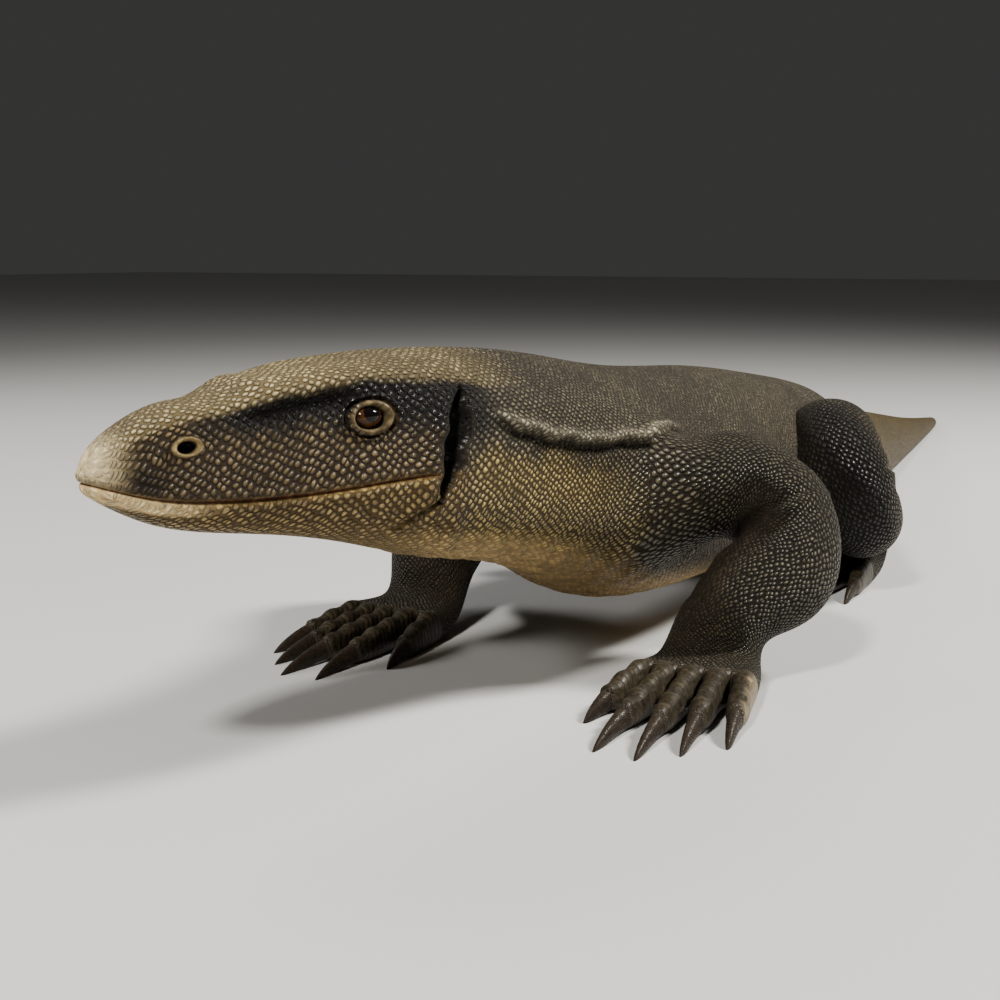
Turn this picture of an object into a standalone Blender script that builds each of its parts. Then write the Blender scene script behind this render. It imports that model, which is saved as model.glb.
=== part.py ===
"""A standing monitor lizard carved from one piece of wood, with two inlaid eyes.

The nose points to -X, the left flank to -Y and the floor is z = 0. Every size is in metres. The body is
a quad cage of rings along a spine, with the legs grown out of openings in its flanks and five toes
grown out of the front edge of each foot, and the cage is then rounded by subdivision.
"""

import math

import bmesh
import bpy
import numpy as np
from mathutils import Matrix, Vector

# Body, from nose to tail
SHOULDER_HEIGHT = 0.0950  # floor to the top of the back over the front legs
HEAD_LENGTH = 0.0930  # snout tip to the slit behind the cheek
HEAD_DEPTH = 0.0547
HEAD_WIDTH = 0.0457
HEAD_TURN = 20.0  # degrees that the head looks to the animal's right
NECK_LENGTH = 0.0770
NECK_DEPTH = 0.0597
NECK_WIDTH = 0.0432
TRUNK_LENGTH = 0.2030  # over the front legs to over the hind legs
TRUNK_DEPTH = 0.0730
TRUNK_WIDTH = 0.0762
TAIL_LENGTH = 0.5330
TAIL_DEPTH = 0.0508  # at its root
TAIL_WIDTH = 0.0419
TAIL_SWING = 7.5  # degrees that the tail drifts to the animal's right
FOLD_HEIGHT = 0.0034  # how far the fold along the side of the neck stands out

# Legs and feet
ARM_SETBACK = 0.0127  # middle of the front leg's root behind the shoulder line
THIGH_SETBACK = 0.1900  # middle of the hind leg's root behind the shoulder line
ROOT_LENGTH = 0.0381  # how much of the flank a leg's root takes up
ARM_THICKNESS = 0.0350
FOREARM_THICKNESS = 0.0362
WRIST_THICKNESS = 0.0262
THIGH_THICKNESS = 0.0370
SHANK_THICKNESS = 0.0300
ANKLE_THICKNESS = 0.0240
FOOT_WIDTH = 0.0370
HIND_FOOT_WIDTH = 0.0330
FOOT_THICKNESS = 0.0125
SOLE_AHEAD = 0.0175  # how far the sole reaches in front of the wrist or ankle
TOE_LENGTH = 0.0290  # of the longest toe, without its claw
TOE_THICKNESS = 0.0096
CLAW_LENGTH = 0.0235
CREASE = 0.0015  # radius of the fold inside a bent elbow or knee
SOLE_TRIM = 0.0008  # cut off below, so that the feet and the tail rest on flats

# Face
BROW_HEIGHT = 0.0029  # how far the brow stands out in front of the eye
BROW_PLACE = 0.575  # share of the head's length from the snout tip
EYE_LENGTH = 0.0098
EYE_OPENING = 0.0064  # the eye's height between its lids
EYE_PLACE = 0.72  # share of the head's length from the snout tip
EYE_SHOWING = 0.0024  # how far the eye stands out of the head
EYE_GAP = 0.0003
LID_THICKNESS = 0.0031
NOSTRIL_PLACE = 0.22
NOSTRIL_LENGTH = 0.0044
MOUTH_REACH = 0.93  # share of the head's length that the mouth runs back
MOUTH_WIDTH = 0.0016
MOUTH_DEPTH = 0.0024
SLIT_TOP = 0.0933  # the slit behind the cheek starts this high above the floor
SLIT_HEIGHT = 0.0280
SLIT_WIDTH = 0.0056
SLIT_DEPTH = 0.0060

FACES_KEPT = 0.73  # share of the rounded cage's faces, with the flattest ones merged
COLUMNS = 16
EYE_COLUMN = 3.15  # columns down from the middle of the back
NOSTRIL_COLUMN = 3.2
LEG_SIDES = 12
RING_FULLNESS = 6 / (4 + 2 * math.cos(2 * math.pi / COLUMNS))
LEG_FULLNESS = 6 / (4 + 2 * math.cos(2 * math.pi / LEG_SIDES))

# Rows of (share of the part's length, underside as a share of SHOULDER_HEIGHT, depth, width), the last two
# as shares of the part's own depth and width
HEAD_ROWS = (
    (0.00, 0.770, 0.16, 0.20),
    (0.06, 0.738, 0.29, 0.36),
    (0.14, 0.691, 0.45, 0.48),
    (0.23, 0.662, 0.55, 0.56),
    (0.35, 0.642, 0.63, 0.62),
    (0.47, 0.626, 0.70, 0.68),
    (0.61, 0.602, 0.79, 0.77),
    (0.78, 0.561, 0.89, 0.88),
    (0.97, 0.503, 1.00, 1.00),
)
# The mouth's height along the head, as shares of the head's length and of SHOULDER_HEIGHT
MOUTH_ROWS = (
    (0.00, 0.798),
    (0.14, 0.758),
    (0.35, 0.738),
    (0.61, 0.742),
    (0.80, 0.757),
    (0.93, 0.765),
)
NECK_ROWS = (
    (0.15, 0.475, 0.96, 1.03),
    (0.40, 0.435, 1.00, 1.02),
    (0.70, 0.355, 1.08, 1.20),
)
TRUNK_ROWS = (
    (0.00, 0.240, 0.985, 0.84),
    (0.20, 0.150, 1.04, 0.95),
    (0.45, 0.137, 1.02, 1.00),
    (0.70, 0.160, 0.91, 0.90),
    (1.00, 0.190, 0.75, 0.76),
)
TAIL_ROWS = (
    (0.10, 0.080, 1.02, 1.00),
    (0.20, 0.020, 0.98, 0.76),
    (0.33, 0.000, 0.86, 0.59),
    (0.57, 0.000, 0.53, 0.41),
    (0.80, 0.000, 0.28, 0.26),
    (1.00, 0.000, 0.09, 0.09),
)
# Half of a head section, from the crown's middle round the brow, cheek and mouth to the throat
HEAD_SIDES = (0.00, 0.42, 0.82, 0.93, 1.00, 0.99, 0.90, 0.56, 0.00)
HEAD_HEIGHTS = (1.00, 0.97, 0.86, 0.46, 0.08, -0.32, -0.66, -0.94, -1.00)
HEAD_RINGS = (0.035, 0.10, 0.19, 0.29, 0.40, 0.51, 0.62, 0.73, 0.84, 0.95)
NECK_RINGS = (0.20, 0.47, 0.74)
FLANK_RINGS = 4  # between the legs
TAIL_RINGS = (0.06, 0.16, 0.29, 0.45, 0.63, 0.82, 0.97)

SHOULDER_AT = HEAD_LENGTH + NECK_LENGTH  # distances along the spine from the snout tip
HIP_AT = SHOULDER_AT + TRUNK_LENGTH
SPINE_END = HIP_AT + TAIL_LENGTH


def smooth_curve(places, values, where):
    """A smooth curve through the values at these places, read off where it is asked."""
    places = np.asarray(places, float)
    values = np.asarray(values, float)
    slopes = np.gradient(values, places)
    i = int(np.clip(np.searchsorted(places, where) - 1, 0, len(places) - 2))
    span = places[i + 1] - places[i]
    t = float(np.clip((where - places[i]) / span, 0, 1))
    return float(
        values[i] * (1 + 2 * t) * (1 - t) ** 2
        + slopes[i] * span * t * (1 - t) ** 2
        + values[i + 1] * t * t * (3 - 2 * t)
        - slopes[i + 1] * span * t * t * (1 - t)
    )


def smooth_step(low, high, x):
    t = min(max((x - low) / (high - low), 0.0), 1.0)
    return t * t * (3 - 2 * t)


def body_profile():
    """Places along the spine with the body's underside, depth and width there, all in metres."""
    parts = (
        (HEAD_ROWS, 0, HEAD_LENGTH, HEAD_DEPTH, HEAD_WIDTH),
        (NECK_ROWS, HEAD_LENGTH, NECK_LENGTH, NECK_DEPTH, NECK_WIDTH),
        (TRUNK_ROWS, SHOULDER_AT, TRUNK_LENGTH, TRUNK_DEPTH, TRUNK_WIDTH),
        (TAIL_ROWS, HIP_AT, TAIL_LENGTH, TAIL_DEPTH, TAIL_WIDTH),
    )
    rows = []
    for part, start, length, depth, width in parts:
        for share, underside, deep, wide in part:
            rows.append(
                (
                    start + share * length,
                    underside * SHOULDER_HEIGHT,
                    deep * depth,
                    wide * width,
                )
            )
    return np.array(rows)


PROFILE = body_profile()


def spine_plan():
    """The spine seen from above: distances from the snout tip, x and y, with the shoulder line at x = 0."""
    turns = (
        (0, -HEAD_TURN),
        (0.85 * HEAD_LENGTH, -HEAD_TURN),
        (HEAD_LENGTH + 0.20 * NECK_LENGTH, -0.55 * HEAD_TURN),
        (HEAD_LENGTH + 0.60 * NECK_LENGTH, 0.15 * HEAD_TURN),
        (SHOULDER_AT, 0),
        (HIP_AT, 0),
        (HIP_AT + 0.15 * TAIL_LENGTH, TAIL_SWING),
        (SPINE_END, TAIL_SWING),
    )
    along = np.linspace(0, SPINE_END, 1200)
    heading = np.radians(np.interp(along, *zip(*turns)))
    step = along[1] - along[0]
    x = np.concatenate([[0], np.cumsum(np.cos(heading[:-1]) * step)])
    y = np.concatenate([[0], np.cumsum(np.sin(heading[:-1]) * step)])
    x -= np.interp(SHOULDER_AT, along, x)
    y -= np.interp(SHOULDER_AT, along, y)
    return along, x, y, heading


PLAN = spine_plan()


def section(place):
    """The body's section there: its middle, its direction to the left, half depth and half width."""
    along, x, y, heading = PLAN
    low = smooth_curve(PROFILE[:, 0], PROFILE[:, 1], place)
    half_depth = smooth_curve(PROFILE[:, 0], PROFILE[:, 2], place) / 2
    half_width = smooth_curve(PROFILE[:, 0], PROFILE[:, 3], place) / 2
    turn = np.interp(place, along, heading)
    middle = Vector(
        (
            np.interp(place, along, x),
            np.interp(place, along, y),
            max(low, 0) + half_depth,
        )
    )
    left = Vector((math.sin(turn), -math.cos(turn), 0))
    return middle, left, half_depth, half_width


def section_shape(place, column):
    """Where a column of the section lies, as shares of its half width and half depth.

    Column 0 is the middle of the back, a quarter of the columns on is the left flank and half of them on
    is the belly. The head has a flat crown with a brow edge, the trunk is round and the tail keeled.
    """
    turn = column / COLUMNS * 2 * math.pi
    side = math.sin(turn)
    height = math.cos(turn)
    mirrored = min(column, COLUMNS - column)
    head_side = math.copysign(
        float(np.interp(mirrored, range(9), HEAD_SIDES)), side if side else 1
    )
    head_height = float(np.interp(mirrored, range(9), HEAD_HEIGHTS))
    head = 1 - smooth_step(0.80 * HEAD_LENGTH, HEAD_LENGTH + 0.35 * NECK_LENGTH, place)
    snout = 1 - smooth_step(0.0, 0.22 * HEAD_LENGTH, place)
    head *= 1 - 0.6 * snout
    side += (head_side - side) * head
    height += (head_height - height) * head
    tail = smooth_step(HIP_AT, HIP_AT + 0.12 * TAIL_LENGTH, place)
    side *= 1 - 0.30 * tail * height
    # the flank sags a little and the belly is flatter than the back
    trunk = smooth_step(HEAD_LENGTH, SHOULDER_AT, place) * (
        1 - smooth_step(HIP_AT, HIP_AT + 0.1 * TAIL_LENGTH, place)
    )
    side *= 1 - 0.07 * trunk * height
    return side, height


def on_body(place, column):
    """A point on the body's skin, and the way out of it."""
    middle, left, half_depth, half_width = section(place)
    side, height = section_shape(place, column)
    point = middle + left * (side * half_width)
    point.z += height * half_depth
    neck = smooth_step(HEAD_LENGTH, HEAD_LENGTH + 0.3 * NECK_LENGTH, place) * (
        1 - smooth_step(SHOULDER_AT, SHOULDER_AT + 0.2 * TRUNK_LENGTH, place)
    )
    mirrored = min(column, COLUMNS - column)
    fold = neck * (
        math.exp(-(((mirrored - 3.2) / 0.55) ** 2))
        - 0.8 * math.exp(-(((mirrored - 4.2) / 0.55) ** 2))
    )
    near_brow = math.exp(-(((place / HEAD_LENGTH - BROW_PLACE) / 0.11) ** 2))
    near_eye = math.exp(-(((place / HEAD_LENGTH - EYE_PLACE) / 0.13) ** 2))
    brow = (
        near_brow * math.exp(-(((mirrored - 2.0) / 0.6) ** 2))
        - 0.3 * near_brow * math.exp(-((mirrored / 0.9) ** 2))
        + 0.3 * near_eye * math.exp(-(((mirrored - 2.0) / 0.6) ** 2))
        - 0.4 * near_eye * math.exp(-(((mirrored - EYE_COLUMN) / 0.6) ** 2))
    )
    out = left * side + Vector((0, 0, height))
    out.normalize()
    return point + out * (fold * FOLD_HEIGHT + brow * BROW_HEIGHT), out


def ring_points(place):
    middle = section(place)[0]
    return [
        middle + (on_body(place, column)[0] - middle) * RING_FULLNESS
        for column in range(COLUMNS)
    ]


def ring_places():
    """Distances along the spine of every ring, and the index of the first ring of each leg's root."""
    step = ROOT_LENGTH / 3
    arm = SHOULDER_AT + ARM_SETBACK
    thigh = SHOULDER_AT + THIGH_SETBACK
    arm_rings = [arm + (i - 1.5) * step for i in range(4)]
    thigh_rings = [thigh + (i - 1.5) * step for i in range(4)]
    places = [share * HEAD_LENGTH for share in HEAD_RINGS]
    places += [HEAD_LENGTH + share * NECK_LENGTH for share in NECK_RINGS]
    first_arm = len(places)
    places += arm_rings
    gap = thigh_rings[0] - arm_rings[-1]
    places += [
        arm_rings[-1] + gap * (i + 1) / (FLANK_RINGS + 1) for i in range(FLANK_RINGS)
    ]
    first_thigh = len(places)
    places += thigh_rings
    start = thigh_rings[-1]
    places += [start + share * (SPINE_END - start) for share in TAIL_RINGS]
    return places, first_arm, first_thigh


def close_snout(mesh, ring):
    """Closes the first ring with a rounded patch, four faces each way, its corners at the diagonals."""
    tip = section(0)[0]
    count = COLUMNS // 4
    start = COLUMNS // 8
    edge = [ring[(start + i) % COLUMNS] for i in range(COLUMNS)]
    grid = {}
    for i in range(count + 1):
        grid[i, 0] = edge[i]
        grid[count, i] = edge[count + i]
        grid[count - i, count] = edge[2 * count + i]
        if i < count:
            grid[0, count - i] = edge[(3 * count + i) % COLUMNS]
    centre = sum((v.co for v in ring), Vector()) / COLUMNS
    forward = tip - centre
    for i in range(1, count):
        for j in range(1, count):
            a = i / count
            b = j / count
            flat = (
                grid[i, 0].co * (1 - b)
                + grid[i, count].co * b
                + grid[0, j].co * (1 - a)
                + grid[count, j].co * a
                - grid[0, 0].co * (1 - a) * (1 - b)
                - grid[count, 0].co * a * (1 - b)
                - grid[0, count].co * (1 - a) * b
                - grid[count, count].co * a * b
            )
            bulge = (math.sin(math.pi * a) * math.sin(math.pi * b)) ** 0.5
            grid[i, j] = mesh.verts.new(flat + forward * (1.15 * bulge))
    for i in range(count):
        for j in range(count):
            mesh.faces.new(
                (grid[i, j], grid[i + 1, j], grid[i + 1, j + 1], grid[i, j + 1])
            )


def bridge(mesh, first, second):
    """Joins two loops of as many vertices, turned so that their vertices lie nearest to each other."""
    count = len(first)
    best = None
    for order in (second, second[::-1]):
        for shift in range(count):
            turned = [order[(i + shift) % count] for i in range(count)]
            apart = sum((a.co - b.co).length for a, b in zip(first, turned))
            if best is None or apart < best[0]:
                best = (apart, turned)
    turned = best[1]
    for i in range(count):
        j = (i + 1) % count
        mesh.faces.new((first[i], first[j], turned[j], turned[i]))
    return turned


def leg_ring(mesh, centre, axis, out, along_out, across):
    """A ring of a leg square to axis, with its half sizes along out and across it."""
    side = axis.cross(out).normalized()
    points = []
    for i in range(LEG_SIDES):
        turn = math.radians(15 + 360 / LEG_SIDES * i)
        points.append(
            mesh.verts.new(
                centre
                + out * (math.cos(turn) * along_out * LEG_FULLNESS)
                + side * (math.sin(turn) * across * LEG_FULLNESS)
            )
        )
    return points


def grow_toe(mesh, corners, heading, length, claw, breadth):
    """A toe with its claw from four corners (two above, then two below, left to right and back)."""
    start = sum((v.co for v in corners), Vector()) / 4
    forward = Vector((-math.cos(heading), math.sin(heading), 0))
    right = Vector((math.sin(heading), math.cos(heading), 0))
    # distance ahead, half width, and the underside and top as shares of the toe's thickness
    rows = (
        (0.45 * length, 0.45 * breadth, 0.0, 1.20),
        (0.92 * length, 0.50 * breadth, 0.0, 0.96),
        (length + 0.10 * claw, 0.33 * breadth, 0.14, 0.86),
        (length + 0.60 * claw, 0.22 * breadth, 0.05, 0.62),
        (length + 1.00 * claw, 0.07 * breadth, -0.06, 0.12),
    )
    base = Vector((start.x, start.y, 0))
    last = corners
    for ahead, wide, low, high in rows:
        middle = base + forward * ahead
        ring = [
            mesh.verts.new(
                middle + right * (sign * wide) + Vector((0, 0, level * TOE_THICKNESS))
            )
            for sign, level in ((-1, high), (1, high), (1, low), (-1, low))
        ]
        for i in range(4):
            j = (i + 1) % 4
            mesh.faces.new((last[i], last[j], ring[j], ring[i]))
        last = ring
    mesh.faces.new(last)


def grow_leg(mesh, root, side, joints, sizes, width, foot):
    """A leg from the opening in the flank to the claws. side is -1 on the left and 1 on the right."""
    elbow, wrist, heading = joints
    upper, lower, end = (size / 2 for size in sizes)
    start = sum((v.co for v in root), Vector()) / len(root)
    down_upper = (elbow - start).normalized()
    down_lower = (wrist - elbow).normalized()
    hinge = down_upper.cross(down_lower).normalized()
    turn = down_upper.angle(down_lower)
    outward = hinge.cross(down_upper) * -1
    middle_out = Matrix.Rotation(turn / 2, 3, hinge) @ outward
    pivot = elbow - middle_out * (upper + CREASE)
    loop = root
    share = 0.5
    first = pivot + outward * (upper + CREASE)
    ring = leg_ring(
        mesh, start.lerp(first, share), down_upper, outward, 0.90 * upper, upper
    )
    loop = bridge(mesh, loop, ring)
    for step in (0, 0.5, 1):
        spin = Matrix.Rotation(turn * step, 3, hinge)
        thick = upper + (lower - upper) * step
        ring = leg_ring(
            mesh,
            pivot + (spin @ outward) * (thick + CREASE),
            spin @ down_upper,
            spin @ outward,
            thick * (1.06 if step == 0.5 else 1.0),
            thick,
        )
        loop = bridge(mesh, loop, ring)
    last = pivot + (Matrix.Rotation(turn, 3, hinge) @ outward) * (lower + CREASE)
    forward = Vector((-math.cos(heading), math.sin(heading), 0))
    right = Vector((math.sin(heading), math.cos(heading), 0))
    shin = (wrist - last).normalized()
    back = (Matrix.Rotation(turn, 3, hinge) @ outward).normalized()
    for step in (0.5, 1.0):
        thick = lower + (end - lower) * step
        axis = shin.lerp(Vector((0, 0, -1)), 0.6 * step * step).normalized()
        out = (back - axis * back.dot(axis)).normalized()
        ring = leg_ring(mesh, last.lerp(wrist, step), axis, out, thick, 1.05 * thick)
        loop = bridge(mesh, loop, ring)
    # the heel: a ring that leans forward, its rear edge on the floor
    heel = Vector((wrist.x, wrist.y, 0)) + forward * (0.12 * width)
    axis = (forward + Vector((0, 0, -0.55))).normalized()
    out = (Vector((0, 0, 1)) - axis * axis.z).normalized()
    half = 0.60 * FOOT_THICKNESS
    centre = heel + Vector((0, 0, half * LEG_FULLNESS * out.z))
    ring = leg_ring(mesh, centre, axis, out, half, 0.42 * width)
    loop = bridge(mesh, loop, ring)
    # the front edge of the foot: six points above and six below, between which the toes grow
    front = Vector((wrist.x, wrist.y, 0)) + forward * (0.06 * width + SOLE_AHEAD)
    above = []
    below = []
    for i in range(6):
        across = (i / 5 - 0.5) * width * side
        bow = forward * (0.10 * width * (1 - (2 * i / 5 - 1) ** 2))
        place = front + right * across + bow
        above.append(mesh.verts.new(place + Vector((0, 0, FOOT_THICKNESS))))
        below.append(mesh.verts.new(place))
    bridge(mesh, loop, above + below[::-1])
    for i, (reach, claw, splay) in enumerate(foot):
        corners = [above[i + 1], above[i], below[i], below[i + 1]]
        if side > 0:
            corners = [above[i], above[i + 1], below[i + 1], below[i]]
        grow_toe(
            mesh,
            corners,
            heading + math.radians(splay) * side,
            reach * TOE_LENGTH,
            claw * CLAW_LENGTH,
            width / 5,
        )


# For each toe, from the inner one out: its length, its claw's length and how far it splays outwards
FRONT_TOES = (
    (0.66, 0.60, -11),
    (0.98, 1.02, -3),
    (1.00, 1.05, 2),
    (0.88, 0.88, 5),
    (0.68, 0.78, 9),
)
HIND_TOES = (
    (0.64, 0.78, -12),
    (0.78, 0.86, -6),
    (0.86, 0.92, 0),
    (0.84, 0.86, 7),
    (0.60, 0.72, 16),
)
# For each leg: its elbow or knee and its wrist or ankle, as places behind the shoulder line, out from the
# middle and above the floor, in shares of TRUNK_LENGTH, TRUNK_WIDTH and SHOULDER_HEIGHT, and the degrees
# that its foot turns to the animal's right
POSES = {
    ("arm", -1): (((0.1724, 0.7874, 0.5158), (0.0000, 0.6824, 0.2000)), -5),
    ("arm", 1): (((0.2365, 0.8136, 0.5053), (0.0837, 0.7743, 0.2000)), 3),
    ("thigh", -1): (((0.5813, 0.6955, 0.4842), (0.8522, 0.5643, 0.2474)), 11),
    ("thigh", 1): (((0.6355, 0.7546, 0.4947), (0.8867, 0.6955, 0.2474)), 4),
}


def build_cage():
    """The whole animal as one closed cage of quads."""
    mesh = bmesh.new()
    places, first_arm, first_thigh = ring_places()
    rings = [[mesh.verts.new(p) for p in ring_points(place)] for place in places]
    quarter = COLUMNS // 4
    openings = {}
    for name, first in (("arm", first_arm), ("thigh", first_thigh)):
        openings[name, -1] = (first, quarter - 1)
        openings[name, 1] = (first, COLUMNS - quarter - 2)
    holes = {
        (ring + i, (column + j) % COLUMNS)
        for ring, column in openings.values()
        for i in range(3)
        for j in range(3)
    }
    for i in range(len(rings) - 1):
        for j in range(COLUMNS):
            if (i, j) in holes:
                continue
            k = (j + 1) % COLUMNS
            mesh.faces.new((rings[i][j], rings[i][k], rings[i + 1][k], rings[i + 1][j]))
    close_snout(mesh, rings[0])
    mesh.faces.new(rings[-1])
    for (name, side), (ring, column) in openings.items():
        low = rings[ring]
        high = rings[ring + 3]
        loop = [low[(column + j) % COLUMNS] for j in range(4)]
        loop += [rings[ring + i][(column + 3) % COLUMNS] for i in (1, 2)]
        loop += [high[(column + j) % COLUMNS] for j in (3, 2, 1, 0)]
        loop += [rings[ring + i][column] for i in (2, 1)]
        joints, turn = POSES[name, side]
        joints = [
            Vector((x * TRUNK_LENGTH, side * out * TRUNK_WIDTH, z * SHOULDER_HEIGHT))
            for x, out, z in joints
        ]
        if name == "arm":
            sizes = (ARM_THICKNESS, FOREARM_THICKNESS, WRIST_THICKNESS)
            width = FOOT_WIDTH
            toes = FRONT_TOES
        else:
            sizes = (THIGH_THICKNESS, SHANK_THICKNESS, ANKLE_THICKNESS)
            width = HIND_FOOT_WIDTH
            toes = HIND_TOES
        grow_leg(mesh, loop, side, (*joints, math.radians(turn)), sizes, width, toes)
    loose = [v for v in mesh.verts if not v.link_faces]
    bmesh.ops.delete(mesh, geom=loose, context="VERTS")
    bmesh.ops.recalc_face_normals(mesh, faces=mesh.faces[:])
    return mesh


def wood(name, colour, roughness):
    material = bpy.data.materials.new(name)
    material.use_nodes = True
    shader = material.node_tree.nodes["Principled BSDF"]
    shader.inputs["Base Color"].default_value = (*colour, 1)
    shader.inputs["Roughness"].default_value = roughness
    return material


def add_object(name, mesh, material):
    data = bpy.data.meshes.new(name)
    mesh.to_mesh(data)
    mesh.free()
    data.materials.append(material)
    made = bpy.data.objects.new(name, data)
    bpy.context.scene.collection.objects.link(made)
    for face in data.polygons:
        face.use_smooth = True
    return made


def clear():
    for old in list(bpy.data.objects):
        bpy.data.objects.remove(old, do_unlink=True)


def frame_at(place, column, side):
    """A turn whose x runs along the head and whose z points out of its skin, with the point it stands on."""
    point, out = on_body(place, column if side < 0 else COLUMNS - column)
    forward = section(place)[1].cross(Vector((0, 0, -1)))
    up = out.cross(forward).normalized()
    forward = up.cross(out).normalized()
    return Matrix((forward, up, out)).transposed(), point


def add_ball(mesh, place, column, side, sizes, sunk, segments, rings):
    """An ellipsoid in the head's skin, whose middle is sunk below it. sizes are along, up and out."""
    turn, point = frame_at(place, column, side)
    centre = point - turn.col[2] * sunk
    made = bmesh.ops.create_uvsphere(mesh, u_segments=segments, v_segments=rings, radius=1)
    for vert in made["verts"]:
        local = Vector(vert.co[i] * sizes[i] / 2 for i in range(3))
        vert.co = centre + turn @ local


def add_lid(mesh, place, column, side):
    """An oval ring of wood that lies round an eye."""
    turn, point = frame_at(place, column, side)
    around, through = 12, 5
    thick = LID_THICKNESS / 2
    reach = (0.43 * EYE_LENGTH + 0.9 * thick, 0.43 * EYE_OPENING + 0.75 * thick)
    rings = []
    for i in range(around):
        a = 2 * math.pi * (i + 0.5) / around
        out = Vector((math.cos(a), math.sin(a), 0))
        middle = Vector((math.cos(a) * reach[0], math.sin(a) * reach[1], -0.1 * thick))
        rings.append([])
        for j in range(through):
            b = 2 * math.pi * j / through
            local = middle + out * (math.cos(b) * thick)
            local.z += math.sin(b) * thick * 0.8
            rings[i].append(mesh.verts.new(point + turn @ local))
    for i in range(around):
        for j in range(through):
            k, m = (i + 1) % around, (j + 1) % through
            mesh.faces.new((rings[i][j], rings[k][j], rings[k][m], rings[i][m]))


def add_groove(mesh, path, widths, depth):
    """A wedge along a path of (point, way out), which cuts a groove of these widths and this depth."""
    lift = 0.6 * depth
    sections = []
    for i, (point, out) in enumerate(path):
        along = path[min(i + 1, len(path) - 1)][0] - path[max(i - 1, 0)][0]
        across = out.cross(along).normalized() * (widths[i] / 2 * (1 + lift / depth))
        top = point + out * lift
        sections.append(
            [
                mesh.verts.new(top + across),
                mesh.verts.new(top - across),
                mesh.verts.new(point - out * depth),
            ]
        )
    for low, high in zip(sections, sections[1:]):
        for i in range(3):
            j = (i + 1) % 3
            mesh.faces.new((low[i], low[j], high[j], high[i]))
    mesh.faces.new(sections[0])
    mesh.faces.new(sections[-1])


def mouth_path():
    """Points along the closed mouth, from the left corner round the snout to the right one."""
    path = {-1: [], 1: []}
    steps = 9
    for side in (-1, 1):
        for i in range(steps):
            share = MOUTH_REACH + (0.05 - MOUTH_REACH) * i / (steps - 1)
            place = share * HEAD_LENGTH
            height = smooth_curve(*zip(*MOUTH_ROWS), share) * SHOULDER_HEIGHT
            column = 3.0
            while on_body(place, column)[0].z > height and column < 7:
                column += 0.05
            point, out = on_body(place, column if side < 0 else COLUMNS - column)
            out.z *= 0.3
            path[side].append((point, out.normalized()))
    tip = section(0)[0] + (section(0)[0] - section(0.2 * HEAD_LENGTH)[0]) * 0.02
    tip.z = MOUTH_ROWS[0][1] * SHOULDER_HEIGHT
    forward = Vector((0, 0, -1)).cross(section(0)[1])
    return path[-1] + [(tip, forward)] + path[1][::-1]


def slit_path(side):
    """The ragged slit behind the cheek, from under the fold down to the corner of the jaw."""
    path = []
    widths = []
    steps = 7
    for i in range(steps):
        share = i / (steps - 1)
        height = SLIT_TOP - share * SLIT_HEIGHT
        place = HEAD_LENGTH * (1.00 - 0.03 * share)
        column = 1.5
        while on_body(place, column)[0].z > height and column < 7:
            column += 0.05
        point, out = on_body(place, column if side < 0 else COLUMNS - column)
        path.append((point, out))
        widths.append(SLIT_WIDTH * (0.25 + 0.75 * math.sin(math.pi * min(share * 1.15, 1))))
    return path, widths


def face_cuts():
    """Everything hollowed out of the head: eye sockets, nostrils, the mouth line and the cheek slits."""
    mesh = bmesh.new()
    for side in (-1, 1):
        add_ball(mesh, *EYE_SPOT, side, grown_eye(2 * EYE_GAP), EYE_SUNK, 12, 8)
        nostril = (NOSTRIL_LENGTH, 0.6 * NOSTRIL_LENGTH, 0.9 * NOSTRIL_LENGTH)
        add_ball(
            mesh, NOSTRIL_PLACE * HEAD_LENGTH, NOSTRIL_COLUMN, side, nostril, 0, 8, 5
        )
        add_groove(mesh, *slit_path(side), SLIT_DEPTH)
    path = mouth_path()
    last = len(path) - 1
    widths = [MOUTH_WIDTH * min(1, 0.4 + 0.3 * min(i, last - i)) for i in range(len(path))]
    add_groove(mesh, path, widths, MOUTH_DEPTH)
    bmesh.ops.recalc_face_normals(mesh, faces=mesh.faces[:])
    return mesh


def grown_eye(extra):
    return (EYE_LENGTH + extra, EYE_OPENING + extra, EYE_LENGTH + extra)


def cut_with(body, name, mesh, operation):
    """Adds a Boolean step to the body with a helper shape that isn't part of the model."""
    bmesh.ops.triangulate(mesh, faces=mesh.faces[:])
    helper = add_object(name, mesh, body.data.materials[0])
    helper.hide_render = True
    helper.display_type = "WIRE"
    step = body.modifiers.new(name, "BOOLEAN")
    step.operation = operation
    step.solver = "EXACT"
    step.use_self = True
    step.object = helper


def floor_block():
    """A slab whose top is where the soles are cut flat."""
    mesh = bmesh.new()
    bmesh.ops.create_cube(mesh, size=1)
    length = SPINE_END * 1.2
    for vert in mesh.verts:
        vert.co.x = (vert.co.x + 0.2) * length
        vert.co.y *= 0.5
        vert.co.z = (vert.co.z - 0.5) * 0.05 + SOLE_TRIM
    return mesh


def settle():
    """Moves everything so that the animal stands on the floor with the origin under its middle."""
    shape = body.evaluated_get(bpy.context.evaluated_depsgraph_get()).to_mesh()
    corners = np.array([v.co for v in shape.vertices])
    low, high = corners.min(0), corners.max(0)
    shift = Vector((-(low[0] + high[0]) / 2, -(low[1] + high[1]) / 2, -low[2]))
    for piece in bpy.data.objects:
        for vert in piece.data.vertices:
            vert.co += shift
    return shift


EYE_SPOT = (EYE_PLACE * HEAD_LENGTH, EYE_COLUMN)
EYE_SUNK = EYE_LENGTH / 2 - EYE_SHOWING

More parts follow.
